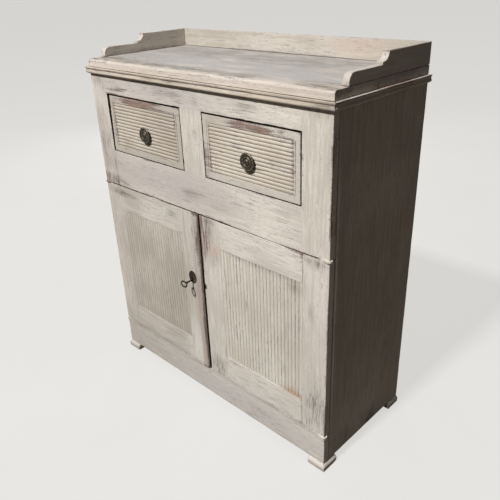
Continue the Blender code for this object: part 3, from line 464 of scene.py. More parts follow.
def on_front(marks, deep=0.03):
    """Spots on the front face. Each mark's name has rows of X and Z, the reach along both, and the strength."""
    return [(name, (x, FRONT_Y, z), (wide, deep, tall), strength)
            for name, rows in marks.items() for x, z, wide, tall, strength in rows]


front_paint = paint("front_frame_paint", (230, 222, 211), (196, 187, 177), (194, 186, 180), "x", wear=0.5, grime=0.5)
stile_paint = paint("front_stile_paint", (232, 224, 213), (198, 189, 178), (190, 182, 174), "z", wear=0.5, grime=0.5)
# Near-black pine for the faces in the gaps: bare wood, made this dark as painted shade in the gaps.
gap_shade_pine = pine("gap_shade_pine", tone(50, 37, 28), tone(26, 19, 14), "x", seed=3.3)
stile_low, stile_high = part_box("left_front_stile")
rail_low, rail_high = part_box("mid_rail")
top_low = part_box("top_rail")[0]
post_low, post_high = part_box("drawer_divider")
left_end = stile_high.x
right_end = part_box("right_front_stile")[0].x
FRAME_EDGE = 0.004
FRAME_ARRIS = 0.0011
frame_reach = -stile_low.x - FRAME_EDGE
bm = block((stile_low.x, FRONT_Y, stile_low.z), (-stile_low.x, FRAME_BACK_Y, stile_high.z))
for x_low, x_high in ((left_end, post_low.x), (post_high.x, right_end)):
    hollow_out(bm, x_low, x_high, rail_high.z, top_low.z, FRAME_ARRIS, FRONT_Y, FRAME_BACK_Y)
ease(bm, arris=FRAME_ARRIS)
divide(bm, step=0.012)
for line in (left_end, post_low.x, post_high.x, right_end):
    saw(bm, 0, line)
# To this depth from the front, the faces in the gaps take the near-black pine as painted shade.
GAP_SHADE_DEPTH = 0.006
saw(bm, 1, FRONT_Y + GAP_SHADE_DEPTH)
CRACK_Z = 0.922
for line in (-0.0015, 0, 0.0015):
    saw(bm, 2, CRACK_Z + line)
SAG = 0.0015
SAG_EDGE = 0.003
SAG_MIDDLE, SAG_REACH = 0.255, 0.15
for vert in bm.verts:
    if vert.co.z < rail_low.z + SAG_EDGE:
        away = abs(vert.co.x - SAG_MIDDLE) / SAG_REACH
        vert.co.z -= SAG * max(0, min(1, 3 - 3 * away))
front_marks = {
    "wear": [(-0.275, 0.925, 0.085, 0.008, 0.75), (-0.04, 0.930, 0.05, 0.006, 0.8), (0.20, 0.922, 0.10, 0.006, 0.45),
             (0.33, 0.636, 0.05, 0.008, 0.6), (0.10, 0.634, 0.10, 0.005, 0.5), (-0.415, 0.643, 0.05, 0.016, 0.9),
             (0.432, 0.90, 0.010, 0.06, 0.7), (0.434, 0.77, 0.008, 0.12, 0.5)],
    "grime": [(-0.015, 0.686, 0.055, 0.022, 0.5), (0.08, 0.672, 0.06, 0.012, 0.4), (-0.30, 0.70, 0.10, 0.012, 0.35),
              (-0.41, 0.955, 0.04, 0.03, 0.6), (0.40, 0.955, 0.05, 0.02, 0.6), (-0.41, 0.76, 0.03, 0.05, 0.35),
              (-0.40, 0.644, 0.10, 0.018, 2.0), (0.021, 0.926, 0.012, 0.012, 0.5), (0.013, 0.850, 0.012, 0.012, 0.5),
              (-0.32, CRACK_Z, 0.06, 0.002, 1.6), (-0.09, 0.940, 0.06, 0.016, 0.6), (0.20, 0.937, 0.07, 0.012, 0.6),
              # On the next row, the long band at z 0.962 across the front is painted shadow under the moulding.
              (0.0, 0.962, 0.9, 0.010, 1.4), (0.428, 0.87, 0.012, 0.09, 0.4), (-0.43, 0.76, 0.10, 0.14, 0.3)],
    # The tints on the left of the front are painted shade: the light falls off towards the left.
    "tint": [(-0.12, 0.69, 0.34, 0.07, 1.0), (-0.12, 0.94, 0.34, 0.05, 0.9), (-0.43, 0.78, 0.20, 0.26, 0.7)],
}
age(bm, hollow=0.0006, chip=0.0016, spots=on_front(front_marks))


def frame_face(way, spot):
    """Bare wood behind, near-black wood as painted shade along the front of the gaps, upright brushing on stiles and
    divider, level brushing elsewhere.
    """
    if way.y > 0.5:
        return 3
    if way.y > -0.5 and abs(spot.x) < frame_reach:
        return 1 if spot.y < FRONT_Y + GAP_SHADE_DEPTH else 3
    upright = not left_end < spot.x < right_end or abs(spot.x) < post_high.x and rail_high.z < spot.z < top_low.z
    return 2 if upright else 0


put("front_frame", bm, [front_paint, gap_shade_pine, stile_paint, upright_pine], "case",
    ["left_front_stile", "right_front_stile", "top_rail", "mid_rail", "drawer_divider"], frame_face)

# Plinth rail: a painted board across the foot of the front, below the doors.
# Brooms and boots have rubbed its lower edge.
plinth_paint = paint("plinth_paint", (217, 210, 200), (184, 177, 167), (196, 191, 187), "x", wear=0.5, grime=0.6)
low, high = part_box("plinth_rail")
bm = plank(low, high, arris=0.0012, step=0.012)
plinth_marks = {
    "grime": [(0.0, high.z, 0.45, 0.010, 0.7)],
    "tint": [(0.1, 0.06, 0.40, 0.05, 0.8)],
    "wear": [(0.0, low.z, 0.46, 0.010, 0.3)],
}
age(bm, hollow=0.0006, chip=0.0014, spots=on_front(plinth_marks))
put("plinth_board", bm, [plinth_paint, level_pine], "case", ["plinth_rail"],
    lambda way, spot: way.y > 0.5)

# Feet: small painted blocks under the corners, standing a little out of the case with a sloped shoulder.
# Their lower arrises are bruised.
FOOT_SHOULDER = 0.007
case_right = -stile_low.x
for end in ("front", "rear"):
    for hand, sign in HANDS:
        low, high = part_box(f"{end}_{hand}_foot")
        bm = block(low, high)
        saw(bm, 2, high.z - FOOT_SHOULDER)
        for vert in bm.verts:
            if vert.co.z > high.z - FOOT_SHOULDER / 2:
                vert.co.x = sign * min(abs(vert.co.x), case_right)
                vert.co.y = max(vert.co.y, FRONT_Y)
        ease(bm, arris=0.0022, bend=30)
        divide(bm, step=0.009)
        age(bm, hollow=0.0005, chip=0.0014, spots=[("grime", (0, 0, 0), (2, 2, 0.008), 0.5)])
        put(f"{end}_{hand}_block_foot", bm, [plinth_paint], "case", [f"{end}_{hand}_foot"])

# Drawer runners: bare pine ledges with guides beside the drawers, fixed behind the front frame.
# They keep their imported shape.
runner_pine = pine("runner_pine", tone(160, 124, 84), tone(104, 72, 46), "y", seed=4.1)
for name in ("left_runner", "centre_runner", "right_runner"):
    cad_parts[name].material_slots[0].material = runner_pine

# Top board: a painted pine board with a rounded front edge, nailed down on the case.
# Years of dusting have greyed its middle and bared the wood along the nosing.
top_paint = paint("top_paint", (212, 202, 191), (189, 177, 166), (171, 167, 163), "x", wear=0.62, grime=0.6)
low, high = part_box("top_board")
bm = block(low, high)
NOSING = 0.008
for edge_z, radius in ((high.z, NOSING), (low.z, NOSING / 12)):
    nose = []
    for edge in bm.edges:
        if all(abs(vert.co.z - edge_z) < 0.0001 and abs(vert.co.y - low.y) < 0.0001 for vert in edge.verts):
            nose.append(edge)
    bmesh.ops.bevel(bm, geom=nose, offset=radius, affect="EDGES", segments=6, profile=0.5, material=-1)
ease(bm, arris=0.001)
divide(bm, step=0.012)
top_marks = [
    ("tint", (0.0, 0.045, high.z), (0.7, 0.205, 0.008), 4.0),
    ("wear", (0.33, low.y, high.z - 0.010), (0.12, 0.018, 0.014), 0.5),
    ("wear", (-0.05, low.y, high.z - 0.008), (0.40, 0.014, 0.014), 0.35),
    ("wear", (0.0, low.y, low.z), (2.0, 0.004, 0.0035), -1.0),
    ("wear", (-0.40, low.y, high.z - 0.009), (0.08, 0.016, 0.012), 0.6),
    ("wear", (-0.20, low.y, low.z + 0.006), (0.14, 0.010, 0.005), 0.45),
    ("wear", (0.12, low.y, low.z + 0.007), (0.16, 0.010, 0.005), 0.4),
    ("grime", (0.0, 0.185, high.z), (0.45, 0.012, 0.01), 0.2),
    ("grime", (-0.415, 0.05, high.z), (0.012, 0.16, 0.01), 0.7),
    ("grime", (0.415, 0.05, high.z), (0.012, 0.16, 0.01), 0.7),
    ("grime", (0.0, 0.11, high.z), (0.9, 0.11, 0.01), 0.4),
    ("grime", (0.0, -0.135, high.z), (1.2, 0.04, 0.004), 0.9),
    ("grime", (-0.41, -0.13, high.z), (0.09, 0.05, 0.006), 0.8),
    ("grime", (0.41, -0.13, high.z), (0.09, 0.05, 0.006), 0.5),
    ("grime", (0.26, -0.13, high.z), (0.09, 0.05, 0.006), -0.7),
    ("wear", (-0.20, -0.05, high.z), (0.16, 0.02, 0.02), 0.35),
    ("wear", (0.15, -0.11, high.z), (0.20, 0.015, 0.02), 0.4),
]
age(bm, hollow=0.0006, chip=0.0010, spots=top_marks)
put("top", bm, [top_paint], "case", ["top_board"])

# Mouldings: thin strips planted on the case under the top board, run with a bead and a hollow, chamfered below.
# They are mitred at the front corners, where the joints have opened a little.


def reeds(bm, start, end, count, depth, out, steps):
    """Half-round reeds side by side between two points, as one chain of points that stands out of the line."""
    start = Vector(start)
    across = Vector(end) - start
    out = Vector(out)
    half = across.length / count / 2
    chain = [bm.verts.new(start)]
    for reed in range(count):
        centre = start + across * (reed + 0.5) / count
        known = len(bm.verts)
        bmesh.ops.spin(bm, geom=[chain[-1]], cent=centre, axis=out.cross(across).normalized(), angle=math.pi,
                       steps=steps)
        bm.verts.ensure_lookup_table()
        chain += bm.verts[known:]
    for vert in chain:
        height = (vert.co - start).dot(out)
        vert.co += out * height * (depth / half - 1)
    return chain


def dirty_hollows(bm, crest, depth, strength):
    """Lays dirt between reeds that look to the front, more of it the deeper they go."""
    mark = bm.verts.layers.float["grime"]
    for vert in bm.verts:
        sunk = (vert.co.y - crest) / depth
        if 0 < sunk < 1.2:
            vert[mark] += strength * sunk ** 2


def wipe(bm, left_over):
    """Wipes a share of the dirt off a piece."""
    mark = bm.verts.layers.float["grime"]
    for vert in bm.verts:
        vert[mark] *= left_over


def draw_out(bm, way, outline=()):
    """Draws a flat face out into a solid: the face round an outline, or the one that is there."""
    if outline:
        bm.faces.new(outline)
    made = bmesh.ops.extrude_face_region(bm, geom=bm.faces[:])
    ends = [item for item in made["geom"] if isinstance(item, bmesh.types.BMVert)]
    bmesh.ops.translate(bm, verts=ends, vec=way)
    bmesh.ops.recalc_face_normals(bm, faces=bm.faces)


moulding_paint = paint("moulding_paint", (206, 194, 179), (176, 163, 147), (196, 186, 170), "x", wear=0.55, grime=0.6)
side_strip_paint = paint("side_strip_paint", (206, 198, 184), (180, 170, 155), (196, 186, 170), "y",
                         wear=0.5, grime=0.6)
STRIP_FOOT = 0.003
STRIP_DROP = 0.001
STRIP_THICK = 0.0088
STRIP_BEAD = (0.0030, 0.0086)
STRIP_HOLLOW = (0.0090, 0.0144)
BEAD_ROUND = 0.0009
HOLLOW_SUNK = 0.0009
STRIP_DIRT = 0.6
MITRE_GAP = 0.0010


def strip_outline(bm, foot, out, top_z):
    """A strip's outline from its foot on the wall: chamfer, round bead, hollow and flat lip."""
    foot = Vector(foot)
    out = Vector(out)

    def at(reach, height):
        return foot + out * reach + Vector((0, 0, height))

    face = STRIP_THICK - BEAD_ROUND
    outline = reeds(bm, at(face, STRIP_BEAD[0]), at(face, STRIP_BEAD[1]), 1, BEAD_ROUND, out, steps=8)
    outline += reeds(bm, at(face, STRIP_HOLLOW[0]), at(face, STRIP_HOLLOW[1]), 1, -HOLLOW_SUNK, out, steps=8)
    tall = top_z - foot.z
    for reach, height in ((STRIP_THICK, STRIP_HOLLOW[1]), (STRIP_THICK, tall), (0, tall), (0, 0), (STRIP_FOOT, 0)):
        outline.append(bm.verts.new(at(reach, height)))
    return outline


low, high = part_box("front_moulding")
bm = bmesh.new()
outline = strip_outline(bm, (-case_right, high.y, low.z - STRIP_DROP), (0, -1, 0), high.z)
draw_out(bm, (2 * case_right, 0, 0), outline)
for vert in bm.verts:
    vert.co.x += math.copysign(high.y - vert.co.y - MITRE_GAP, vert.co.x)
slice_up(bm, 0, -case_right, case_right, count=60)
hollow_z = low.z - STRIP_DROP + sum(STRIP_HOLLOW) / 2
strip_marks = [
    ("wear", (0.36, low.y, low.z), (0.1, 0.02, 0.02), 0.4),
    # The next mark, along the strip's foot at the wall, is painted shadow under the strip.
    ("grime", (0.0, high.y, low.z), (0.46, 0.008, 0.006), 0.8),
    ("grime", (-0.41, low.y, hollow_z), (0.07, 0.01, 0.006), 1.2),
    ("grime", (-0.09, low.y, hollow_z), (0.12, 0.01, 0.006), 1.4),
    ("grime", (0.42, low.y, hollow_z - 0.002), (0.06, 0.012, 0.014), 1.8),
    ("wear", (0.0, low.y, high.z), (2.0, 0.010, 0.0035), -1.0),
    ("grime", (0.0, low.y, high.z), (2.0, 0.010, 0.003), -1.0),
]
age(bm, hollow=0.0004, chip=0.0006, spots=strip_marks)
wipe(bm, STRIP_DIRT)
put("front_strip", bm, [moulding_paint], "case", ["front_moulding"])
for hand, sign in HANDS:
    low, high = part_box(f"{hand}_moulding")
    inner = sign * min(abs(low.x), abs(high.x))
    bm = bmesh.new()
    outline = strip_outline(bm, (inner, FRONT_Y, low.z - STRIP_DROP), (sign, 0, 0), high.z)
    draw_out(bm, (0, high.y - FRONT_Y, 0), outline)
    for vert in bm.verts:
        if vert.co.y < 0:
            vert.co.y -= abs(vert.co.x) - abs(inner) - MITRE_GAP
    slice_up(bm, 1, FRONT_Y, high.y, count=26)
    age(bm, hollow=0.0004, chip=0.0006)
    wipe(bm, STRIP_DIRT)
    put(f"{hand}_strip", bm, [side_strip_paint], "case", [f"{hand}_moulding"])

# Gallery: thin painted boards that stand on the top, nailed together at the back corners.
# The side boards sweep down in a cove to a low front with a round nose.
gallery_paint = paint("gallery_paint", (206, 199, 188), (176, 168, 156), (208, 200, 189), "y", wear=0.5, grime=0.5)
back_gallery_paint = paint("back_gallery_paint", (206, 199, 188), (180, 171, 158), (196, 180, 168), "x",
                           wear=0.5, grime=0.45)
NOSE_RADIUS = 0.020
LOW_HEIGHT = 0.026
LOW_LENGTH = 0.119
STEP_HEIGHT = 0.006
COVE_LENGTH = 0.023
COVE_RADIUS = 0.0188
tray_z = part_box("top_board")[1].z
for hand, sign in HANDS:
    low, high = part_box(f"{hand}_gallery")
    step_y = low.y + LOW_LENGTH
    low_z = tray_z + LOW_HEIGHT
    bm = bmesh.new()
    corners = [(low.y, low.z), (low.y, low_z), (step_y, low_z), (step_y, low_z + STEP_HEIGHT),
               (step_y + COVE_LENGTH, low_z + STEP_HEIGHT), (step_y + COVE_LENGTH, high.z), (high.y, high.z),
               (high.y, low.z)]
    verts = [bm.verts.new((low.x, y, z)) for y, z in corners]
    bm.faces.new(verts)
    for corner, radius in ((verts[1], NOSE_RADIUS), (verts[4], COVE_RADIUS)):
        bmesh.ops.bevel(bm, geom=[corner], offset=radius, affect="VERTICES", segments=10, profile=0.5, material=-1)
    draw_out(bm, (high.x - low.x, 0, 0))
    ease(bm, arris=0.0012)
    divide(bm, step=0.012)
    marks = [("grime", (0, 0.1, low.z), (2, 0.4, 0.008), 0.5),
             # The tint on the left board's inner face is painted light: it brightens a face that the lamp barely
             # reaches.
             ("tint", (-0.416, 0.05, 1.02), (0.006, 0.3, 0.06), 1.0)]
    age(bm, hollow=0.0004, chip=0.0012, spots=marks)
    put(f"{hand}_gallery_board", bm, [gallery_paint], "case", [f"{hand}_gallery"])
low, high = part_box("back_gallery")
bm = plank(low, high, arris=0.0012, step=0.012)
marks = [("grime", (0, low.y, low.z), (0.5, 0.02, 0.008), 0.2),
         ("tint", (0.25, low.y, 1.03), (0.12, 0.03, 0.03), 1.0),
         ("wear", (0.05, low.y, low.z + 0.004), (0.3, 0.02, 0.006), 0.35)]
age(bm, hollow=0.0005, chip=0.0012, spots=marks)
put("back_gallery_board", bm, [back_gallery_paint], "case", ["back_gallery"])

# Drawers: a thick front with a field of reeds, and a plain pine box behind it with its bottom in grooves.
# Hands have rubbed the upper borders down to the wood, and dirt lies between the reeds.
DRAWER_WOOD = (tone(150, 122, 105), tone(97, 75, 62))
# The left drawer's paint is a darker copy of the right's: painted shade, as the light falls off towards the left.
drawer_paints = {
    "left": paint("left_drawer_paint_in_shade", (198, 188, 173), (170, 159, 145), (192, 184, 173), "x",
                  wear=0.6, grime=0.5, wood=DRAWER_WOOD),
    "right": paint("right_drawer_paint", (211, 202, 187), (181, 170, 155), (205, 198, 188), "x",
                   wear=0.6, grime=0.5, wood=DRAWER_WOOD),
}
drawer_pine = pine("drawer_pine", PINE_LIGHT, PINE_DARK, "y", seed=5.3)
BORDER_SIDE = 0.020
BORDER_TOP = 0.020
BORDER_BOTTOM = 0.0185
FIELD_DEPTH = 0.0031
REED_DEPTH = 0.0026
DRAWER_REEDS = 13
FIELD_ARRIS = 0.0007
REED_HELD = 0.0004
FILLET = 0.006
SCRATCH = 0.0008
SCRATCH_ARRIS = 0.0002
END_EDGE = 0.007
LEVEL_EDGE = 0.003
ENDS_PLANED = {("left", -1, 1): 0.0055, ("left", 1, 1): -0.0012, ("right", 1, 1): 0.0004}
drawer_marks = {
    "left": {
        "wear": [(-0.19, 0.895, 0.14, 0.014, 0.95), (-0.24, 0.892, 0.08, 0.014, 0.6)],
        "grime": [(-0.21, 0.892, 0.10, 0.012, 0.5)],
    },
    "right": {
        "wear": [(0.190, 0.8935, 0.108, 0.0125, 1.25), (0.245, 0.8925, 0.05, 0.0125, 0.6),
                 (0.050, 0.80, 0.010, 0.06, 0.6)],
        "grime": [(0.296, 0.897, 0.014, 0.010, 1.1), (0.050, 0.79, 0.012, 0.06, 0.8)],
    },
}
for hand, sign in HANDS:
    body = f"{hand}_drawer"
    low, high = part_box(f"{hand}_drawer_front")
    field_low = (low.x + BORDER_SIDE, low.y, low.z + BORDER_BOTTOM)
    field_high = (high.x - BORDER_SIDE, low.y + FIELD_DEPTH, high.z - BORDER_TOP)
    bm = block(low, high)
    middle = (low + high) / 2
    for vert in bm.verts:
        end = 1 if vert.co.x > middle.x else -1
        level = 1 if vert.co.z > middle.z else -1
        vert.co.x -= end * ENDS_PLANED.get((hand, end, level), 0)
    hollow_out(bm, field_low[0], field_high[0], field_low[2], field_high[2], FIELD_ARRIS, low.y, high.y, FIELD_DEPTH)
    for line in (field_low[0] - FILLET, field_high[0] + FILLET - SCRATCH):
        hollow_out(bm, line, line + SCRATCH, field_low[2], field_high[2], SCRATCH_ARRIS, low.y, high.y, SCRATCH)
    ease(bm, arris=0.0009)
    divide(bm, step=0.010)
    saw(bm, 1, low.y + GAP_SHADE_DEPTH)
    all_over = ("tint", (sign * 0.19, FRONT_Y, 0.82), (0.5, 0.5, 0.5), 0.9)
    age(bm, hollow=0.0004, chip=0.0012, spots=[all_over] + on_front(drawer_marks[hand], deep=0.02))

    def drawer_face(way, spot):
        """Bare wood behind and on the edges, with near-black wood as painted shade along the front of the edges, and
        paint elsewhere.
        """
        if way.y > 0.5:
            return 2
        at_end = abs(spot.x - middle.x) > middle.x - low.x - END_EDGE
        at_level = abs(spot.z - middle.z) > middle.z - low.z - LEVEL_EDGE
        if way.y > -0.5 and (at_end or at_level):
            return 1 if spot.y < low.y + GAP_SHADE_DEPTH else 2
        return 0

    put(f"{hand}_drawer_face", bm, [drawer_paints[hand], gap_shade_pine, level_pine], body,
        [f"{hand}_drawer_front"], drawer_face)

    bm = bmesh.new()
    valley = field_high[1]
    outline = reeds(bm, (field_low[0], valley, field_low[2]), (field_low[0], valley, field_high[2]), DRAWER_REEDS,
                    REED_DEPTH, (0, -1, 0), steps=10)
    hidden = valley + REED_HELD
    outline += [bm.verts.new((field_low[0], hidden, field_high[2])),
                bm.verts.new((field_low[0], hidden, field_low[2]))]
    draw_out(bm, (field_high[0] - field_low[0], 0, 0), outline)
    slice_up(bm, 0, field_low[0], field_high[0], count=30)
    marks = [("grime", (end, valley, 0.82), (0.006, 0.02, 0.1), 0.5) for end in (field_low[0], field_high[0])]
    age(bm, hollow=0.0002, chip=0.0, spots=marks)
    dirty_hollows(bm, low.y + FIELD_DEPTH - REED_DEPTH, REED_DEPTH, strength=0.2)
    put(f"{hand}_drawer_reeds", bm, [drawer_paints[hand]], body, [])

    for part in ("left_side", "right_side", "back", "bottom"):
        low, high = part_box(f"{hand}_drawer_{part}")
        bm = plank(low, high, arris=0.0009, step=0.03)
        age(bm, hollow=0.0003, chip=0.0008)
        material = level_pine if part == "back" else drawer_pine
        put(f"{hand}_drawer_{part}_board", bm, [material], body, [f"{hand}_drawer_{part}"])

# Knobs: turned discs of dark bronze on a short neck, with raised rings, a ring of beads and a small boss.
# Fingers have brightened the high rings.


def metal(name, dark, bright, crust, roughness):
    """Old dark metal: rubbed bright on its high edges, crusted in the hollows."""
    material, tree, shader, spot = start_material(name)
    blot = cloud(spot, 140, 5, 0.6)
    grain = cloud(spot, 900, 3)
    rubbed = times(mark_of(tree, "wear"), rise(blot, 0.3, 0.65))
    rubbed = plus(rubbed, times(rise(blot, 0.5, 0.8), 0.25))
    colour = mix(calc("MINIMUM", rubbed, 1.0), dark, bright)
    crusted = times(mark_of(tree, "grime"), rise(blot, 0.25, 0.6))
    crusted = calc("MINIMUM", times(crusted, 0.9), 1.0)
    colour = mix(crusted, colour, crust)
    height = weigh((blot, 0.7), (grain, 0.3))
    dull = between(blot, roughness - 0.1, roughness + 0.14)
    surface(tree, shader, colour, dull, height, strength=0.4, depth=0.0003)
    shader.inputs["Metallic"].default_value = 0.85
    return material


def turn(bm, profile, spot, steps):
    """Turns a profile of radius and reach to the front round an axis along Y."""
    verts = [bm.verts.new((spot[0] + radius, spot[1] - reach, spot[2])) for radius, reach in profile]
    edges = [bm.edges.new(pair) for pair in zip(verts, verts[1:])]
    bmesh.ops.spin(bm, geom=verts + edges, cent=spot, axis=(0, 1, 0), angle=math.tau, steps=steps, use_merge=True)
    bmesh.ops.remove_doubles(bm, verts=bm.verts, dist=0.000001)
    bmesh.ops.recalc_face_normals(bm, faces=bm.faces)


bronze = metal("old_bronze", tone(54, 48, 38), tone(128, 121, 106), tone(30, 27, 20), roughness=0.45)
KNOB_REACH = 0.0118
KNOB_BEADS = 26
BEAD_RING = 0.0150
BEAD_RADIUS = 0.0012
BEAD_REACH = 0.0076
knob_profile = [(0, -0.013), (0.004, -0.013), (0.004, 0), (0.0093, 0.0001), (0.0089, 0.0012), (0.0083, 0.0026),
                (0.0093, 0.0036), (0.0139, 0.0041), (0.019, 0.0044), (0.021, 0.005), (0.0217, 0.006),
                (0.0217, 0.0071), (0.0212, 0.0082), (0.0201, 0.009), (0.019, 0.0091), (0.0182, 0.0084),
                (0.0174, 0.0077), (0.0167, 0.0074), (0.0134, 0.0074), (0.0128, 0.0078), (0.0123, 0.0088),
                (0.0115, 0.0094), (0.0106, 0.0092), (0.01, 0.0083), (0.0095, 0.0078), (0.0082, 0.008),
                (0.0072, 0.0086), (0.0065, 0.0098), (0.0054, 0.0108), (0.004, 0.0114), (0.002, 0.0117), (0, 0.0118)]
for hand, sign in HANDS:
    low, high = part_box(f"{hand}_drawer_knob")
    spot = Vector(((low.x + high.x) / 2, low.y + KNOB_REACH, (low.z + high.z) / 2))
    bm = bmesh.new()
    turn(bm, knob_profile, spot, steps=72)
    for bead in range(KNOB_BEADS):
        angle = math.tau * bead / KNOB_BEADS
        place = spot + Vector((BEAD_RING * math.cos(angle), -BEAD_REACH, BEAD_RING * math.sin(angle)))
        bmesh.ops.create_icosphere(bm, subdivisions=2, radius=BEAD_RADIUS, matrix=Matrix.Translation(place))
    age(bm, hollow=0.00005, chip=0.0)
    put(f"{hand}_knob", bm, [bronze], f"{hand}_drawer", [f"{hand}_drawer_knob"])

# Hinges: flat iron plates let into the case and into the ends of the doors, with a pin through their eyes.
# The painter has gone over their eyes with the rest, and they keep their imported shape.
worn_hinge = paint("worn_hinge_paint", (150, 138, 116), (104, 90, 70), (120, 110, 90), "x", wear=0.5, grime=0.8)
pale_hinge = paint("pale_hinge_paint", (228, 221, 211), (198, 190, 179), (180, 172, 160), "x", wear=0.4, grime=0.6)
for hand, sign in HANDS:
    for level in ("upper", "lower"):
        for name in (f"{hand}_{level}_hinge_plate", f"{hand}_door_{level}_leaf"):
            coat = pale_hinge if hand == "right" else worn_hinge if level == "upper" else plinth_paint
            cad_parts[name].material_slots[0].material = coat

# Doors: painted frames tenoned at the corners, each round a reeded panel that sits in grooves.
# The left door carries the lock and a round bead along its meeting edge; the right door has the bolt's mortise.
# The left door's coats are darker than the right door's: painted shade, as the light falls off towards the left.
LEFT_SHADED_COAT = ((215, 208, 197), (183, 175, 164), (222, 217, 208))
LEFT_SHADED_PANEL_COAT = ((208, 201, 188), (176, 168, 155), (180, 172, 160))
RIGHT_COAT = ((230, 223, 213), (200, 192, 181), (200, 176, 162))
RIGHT_PANEL_COAT = ((230, 224, 212), (202, 194, 181), (186, 150, 116))
door_paints = {
    "left": [paint("left_door_shaded_paint", *LEFT_SHADED_COAT, "z", wear=0.5, grime=0.6),
             paint("left_rail_shaded_paint", *LEFT_SHADED_COAT, "x", wear=0.5, grime=0.6),
             paint("left_panel_shaded_paint", *LEFT_SHADED_PANEL_COAT, "z", wear=0.4, grime=0.55)],
    "right": [paint("right_door_paint", *RIGHT_COAT, "z", wear=0.55, grime=0.6),
              paint("right_rail_paint", *RIGHT_COAT, "x", wear=0.55, grime=0.6),
              paint("right_panel_paint", *RIGHT_PANEL_COAT, "z", wear=0.45, grime=0.55)],
}
PANEL_DEPTHS = {"left": 0.0020, "right": 0.0028}
STILE = 0.076
TOP_RAIL = 0.080
BOTTOM_RAIL = 0.082
PANEL_REEDS = 24
PANEL_HELD = 0.0004
RUN_OUT = 0.0065
REED_CREST = 0.0005
MEETING_PLANED = (0.0004, 0.0022)
BOLT_HEAD = (0.4025, 0.4125)
BOLT_PLAY = 0.0003
MORTISE_PLAY = 0.001
KEY_X, KEY_Z = -0.049, 0.411
KEYHOLE = (KEY_X - 0.0018, KEY_X + 0.0018, KEY_Z - 0.0028, KEY_Z + 0.0099)
KEYHOLE_ARRIS = 0.0002
KEYHOLE_DEPTH = 0.008
BOLT_WAY = 0.012
MORTISE_WIDE, MORTISE_DEEP = 0.006, 0.016
JOINT_LINE = 0.0005
JOINT_SUNK = 0.0006
JOINT_ARRIS = 0.0001
JOINT_SHORT = 0.002
PANEL_LEDGE = 0.0005
PANEL_ARRIS = 0.0007
PANEL_SKIN = 0.001
SHARP_REACH, SHARP_RIM = 0.015, 0.0015
PLANED_REACH, PLANED_FADE = 0.012, 0.004
MEETING_EDGE = 0.012
DOOR_EDGE = 0.004
SHADED_MARGIN_EDGE = -0.004
door_marks = {
    "left": {
        "wear": [(-0.218, 0.373, 0.22, 0.27, -3.0), (-0.39, 0.622, 0.07, 0.010, 0.5),
                 (-0.06, 0.44, 0.016, 0.03, 0.25)],
        "grime": [(-0.385, 0.612, 0.08, 0.018, 0.7), (-0.335, 0.603, 0.07, 0.011, 1.1),
                  # The next row's first mark, along the bead's left foot, is painted shade where the bead meets the
                  # stile.
                  (-0.031, 0.37, 0.006, 0.3, 0.7), (-0.22, 0.12, 0.25, 0.010, 0.6),
                  (-0.043, 0.377, 0.010, 0.014, 0.6), (-0.12, 0.60, 0.03, 0.02, 0.5)],
        "tint": [(-0.055, 0.17, 0.055, 0.13, 0.9)],
    },
    "right": {
        "wear": [(0.218, 0.373, 0.22, 0.27, -3.0), (0.012, 0.555, 0.027, 0.11, 1.3),
                 (0.06, 0.532, 0.035, 0.014, 0.45), (0.36, 0.625, 0.08, 0.010, 0.7), (0.004, 0.35, 0.006, 0.25, 0.5),
                 (0.434, 0.42, 0.008, 0.22, 0.6), (0.434, 0.16, 0.010, 0.08, 0.6)],
        "tint": [(0.045, 0.54, 0.05, 0.03, 0.7)],
        "grime": [(0.395, 0.615, 0.05, 0.014, 0.8), (0.381, 0.48, 0.008, 0.035, 0.9), (0.040, 0.15, 0.04, 0.05, 0.8),
                  (0.036, 0.595, 0.028, 0.05, 0.9), (0.22, 0.12, 0.26, 0.008, 0.45), (0.40, 0.18, 0.05, 0.13, 0.6),
                  (0.045, 0.51, 0.04, 0.03, 0.5), (0.22, 0.15, 0.23, 0.04, 0.2), (0.03, 0.62, 0.05, 0.015, 0.5)],
    },
}
panel_marks = {
    "left": {
        "grime": [(-0.218, 0.21, 0.15, 0.025, 0.2)],
    },
    "right": {
        "wear": [(0.338, 0.200, 0.03, 0.014, 0.5)],
        "tint": [(0.330, 0.200, 0.05, 0.024, 0.8)],
        "grime": [(0.335, 0.53, 0.03, 0.025, 0.7), (0.218, 0.545, 0.15, 0.008, 0.5)],
    },
}
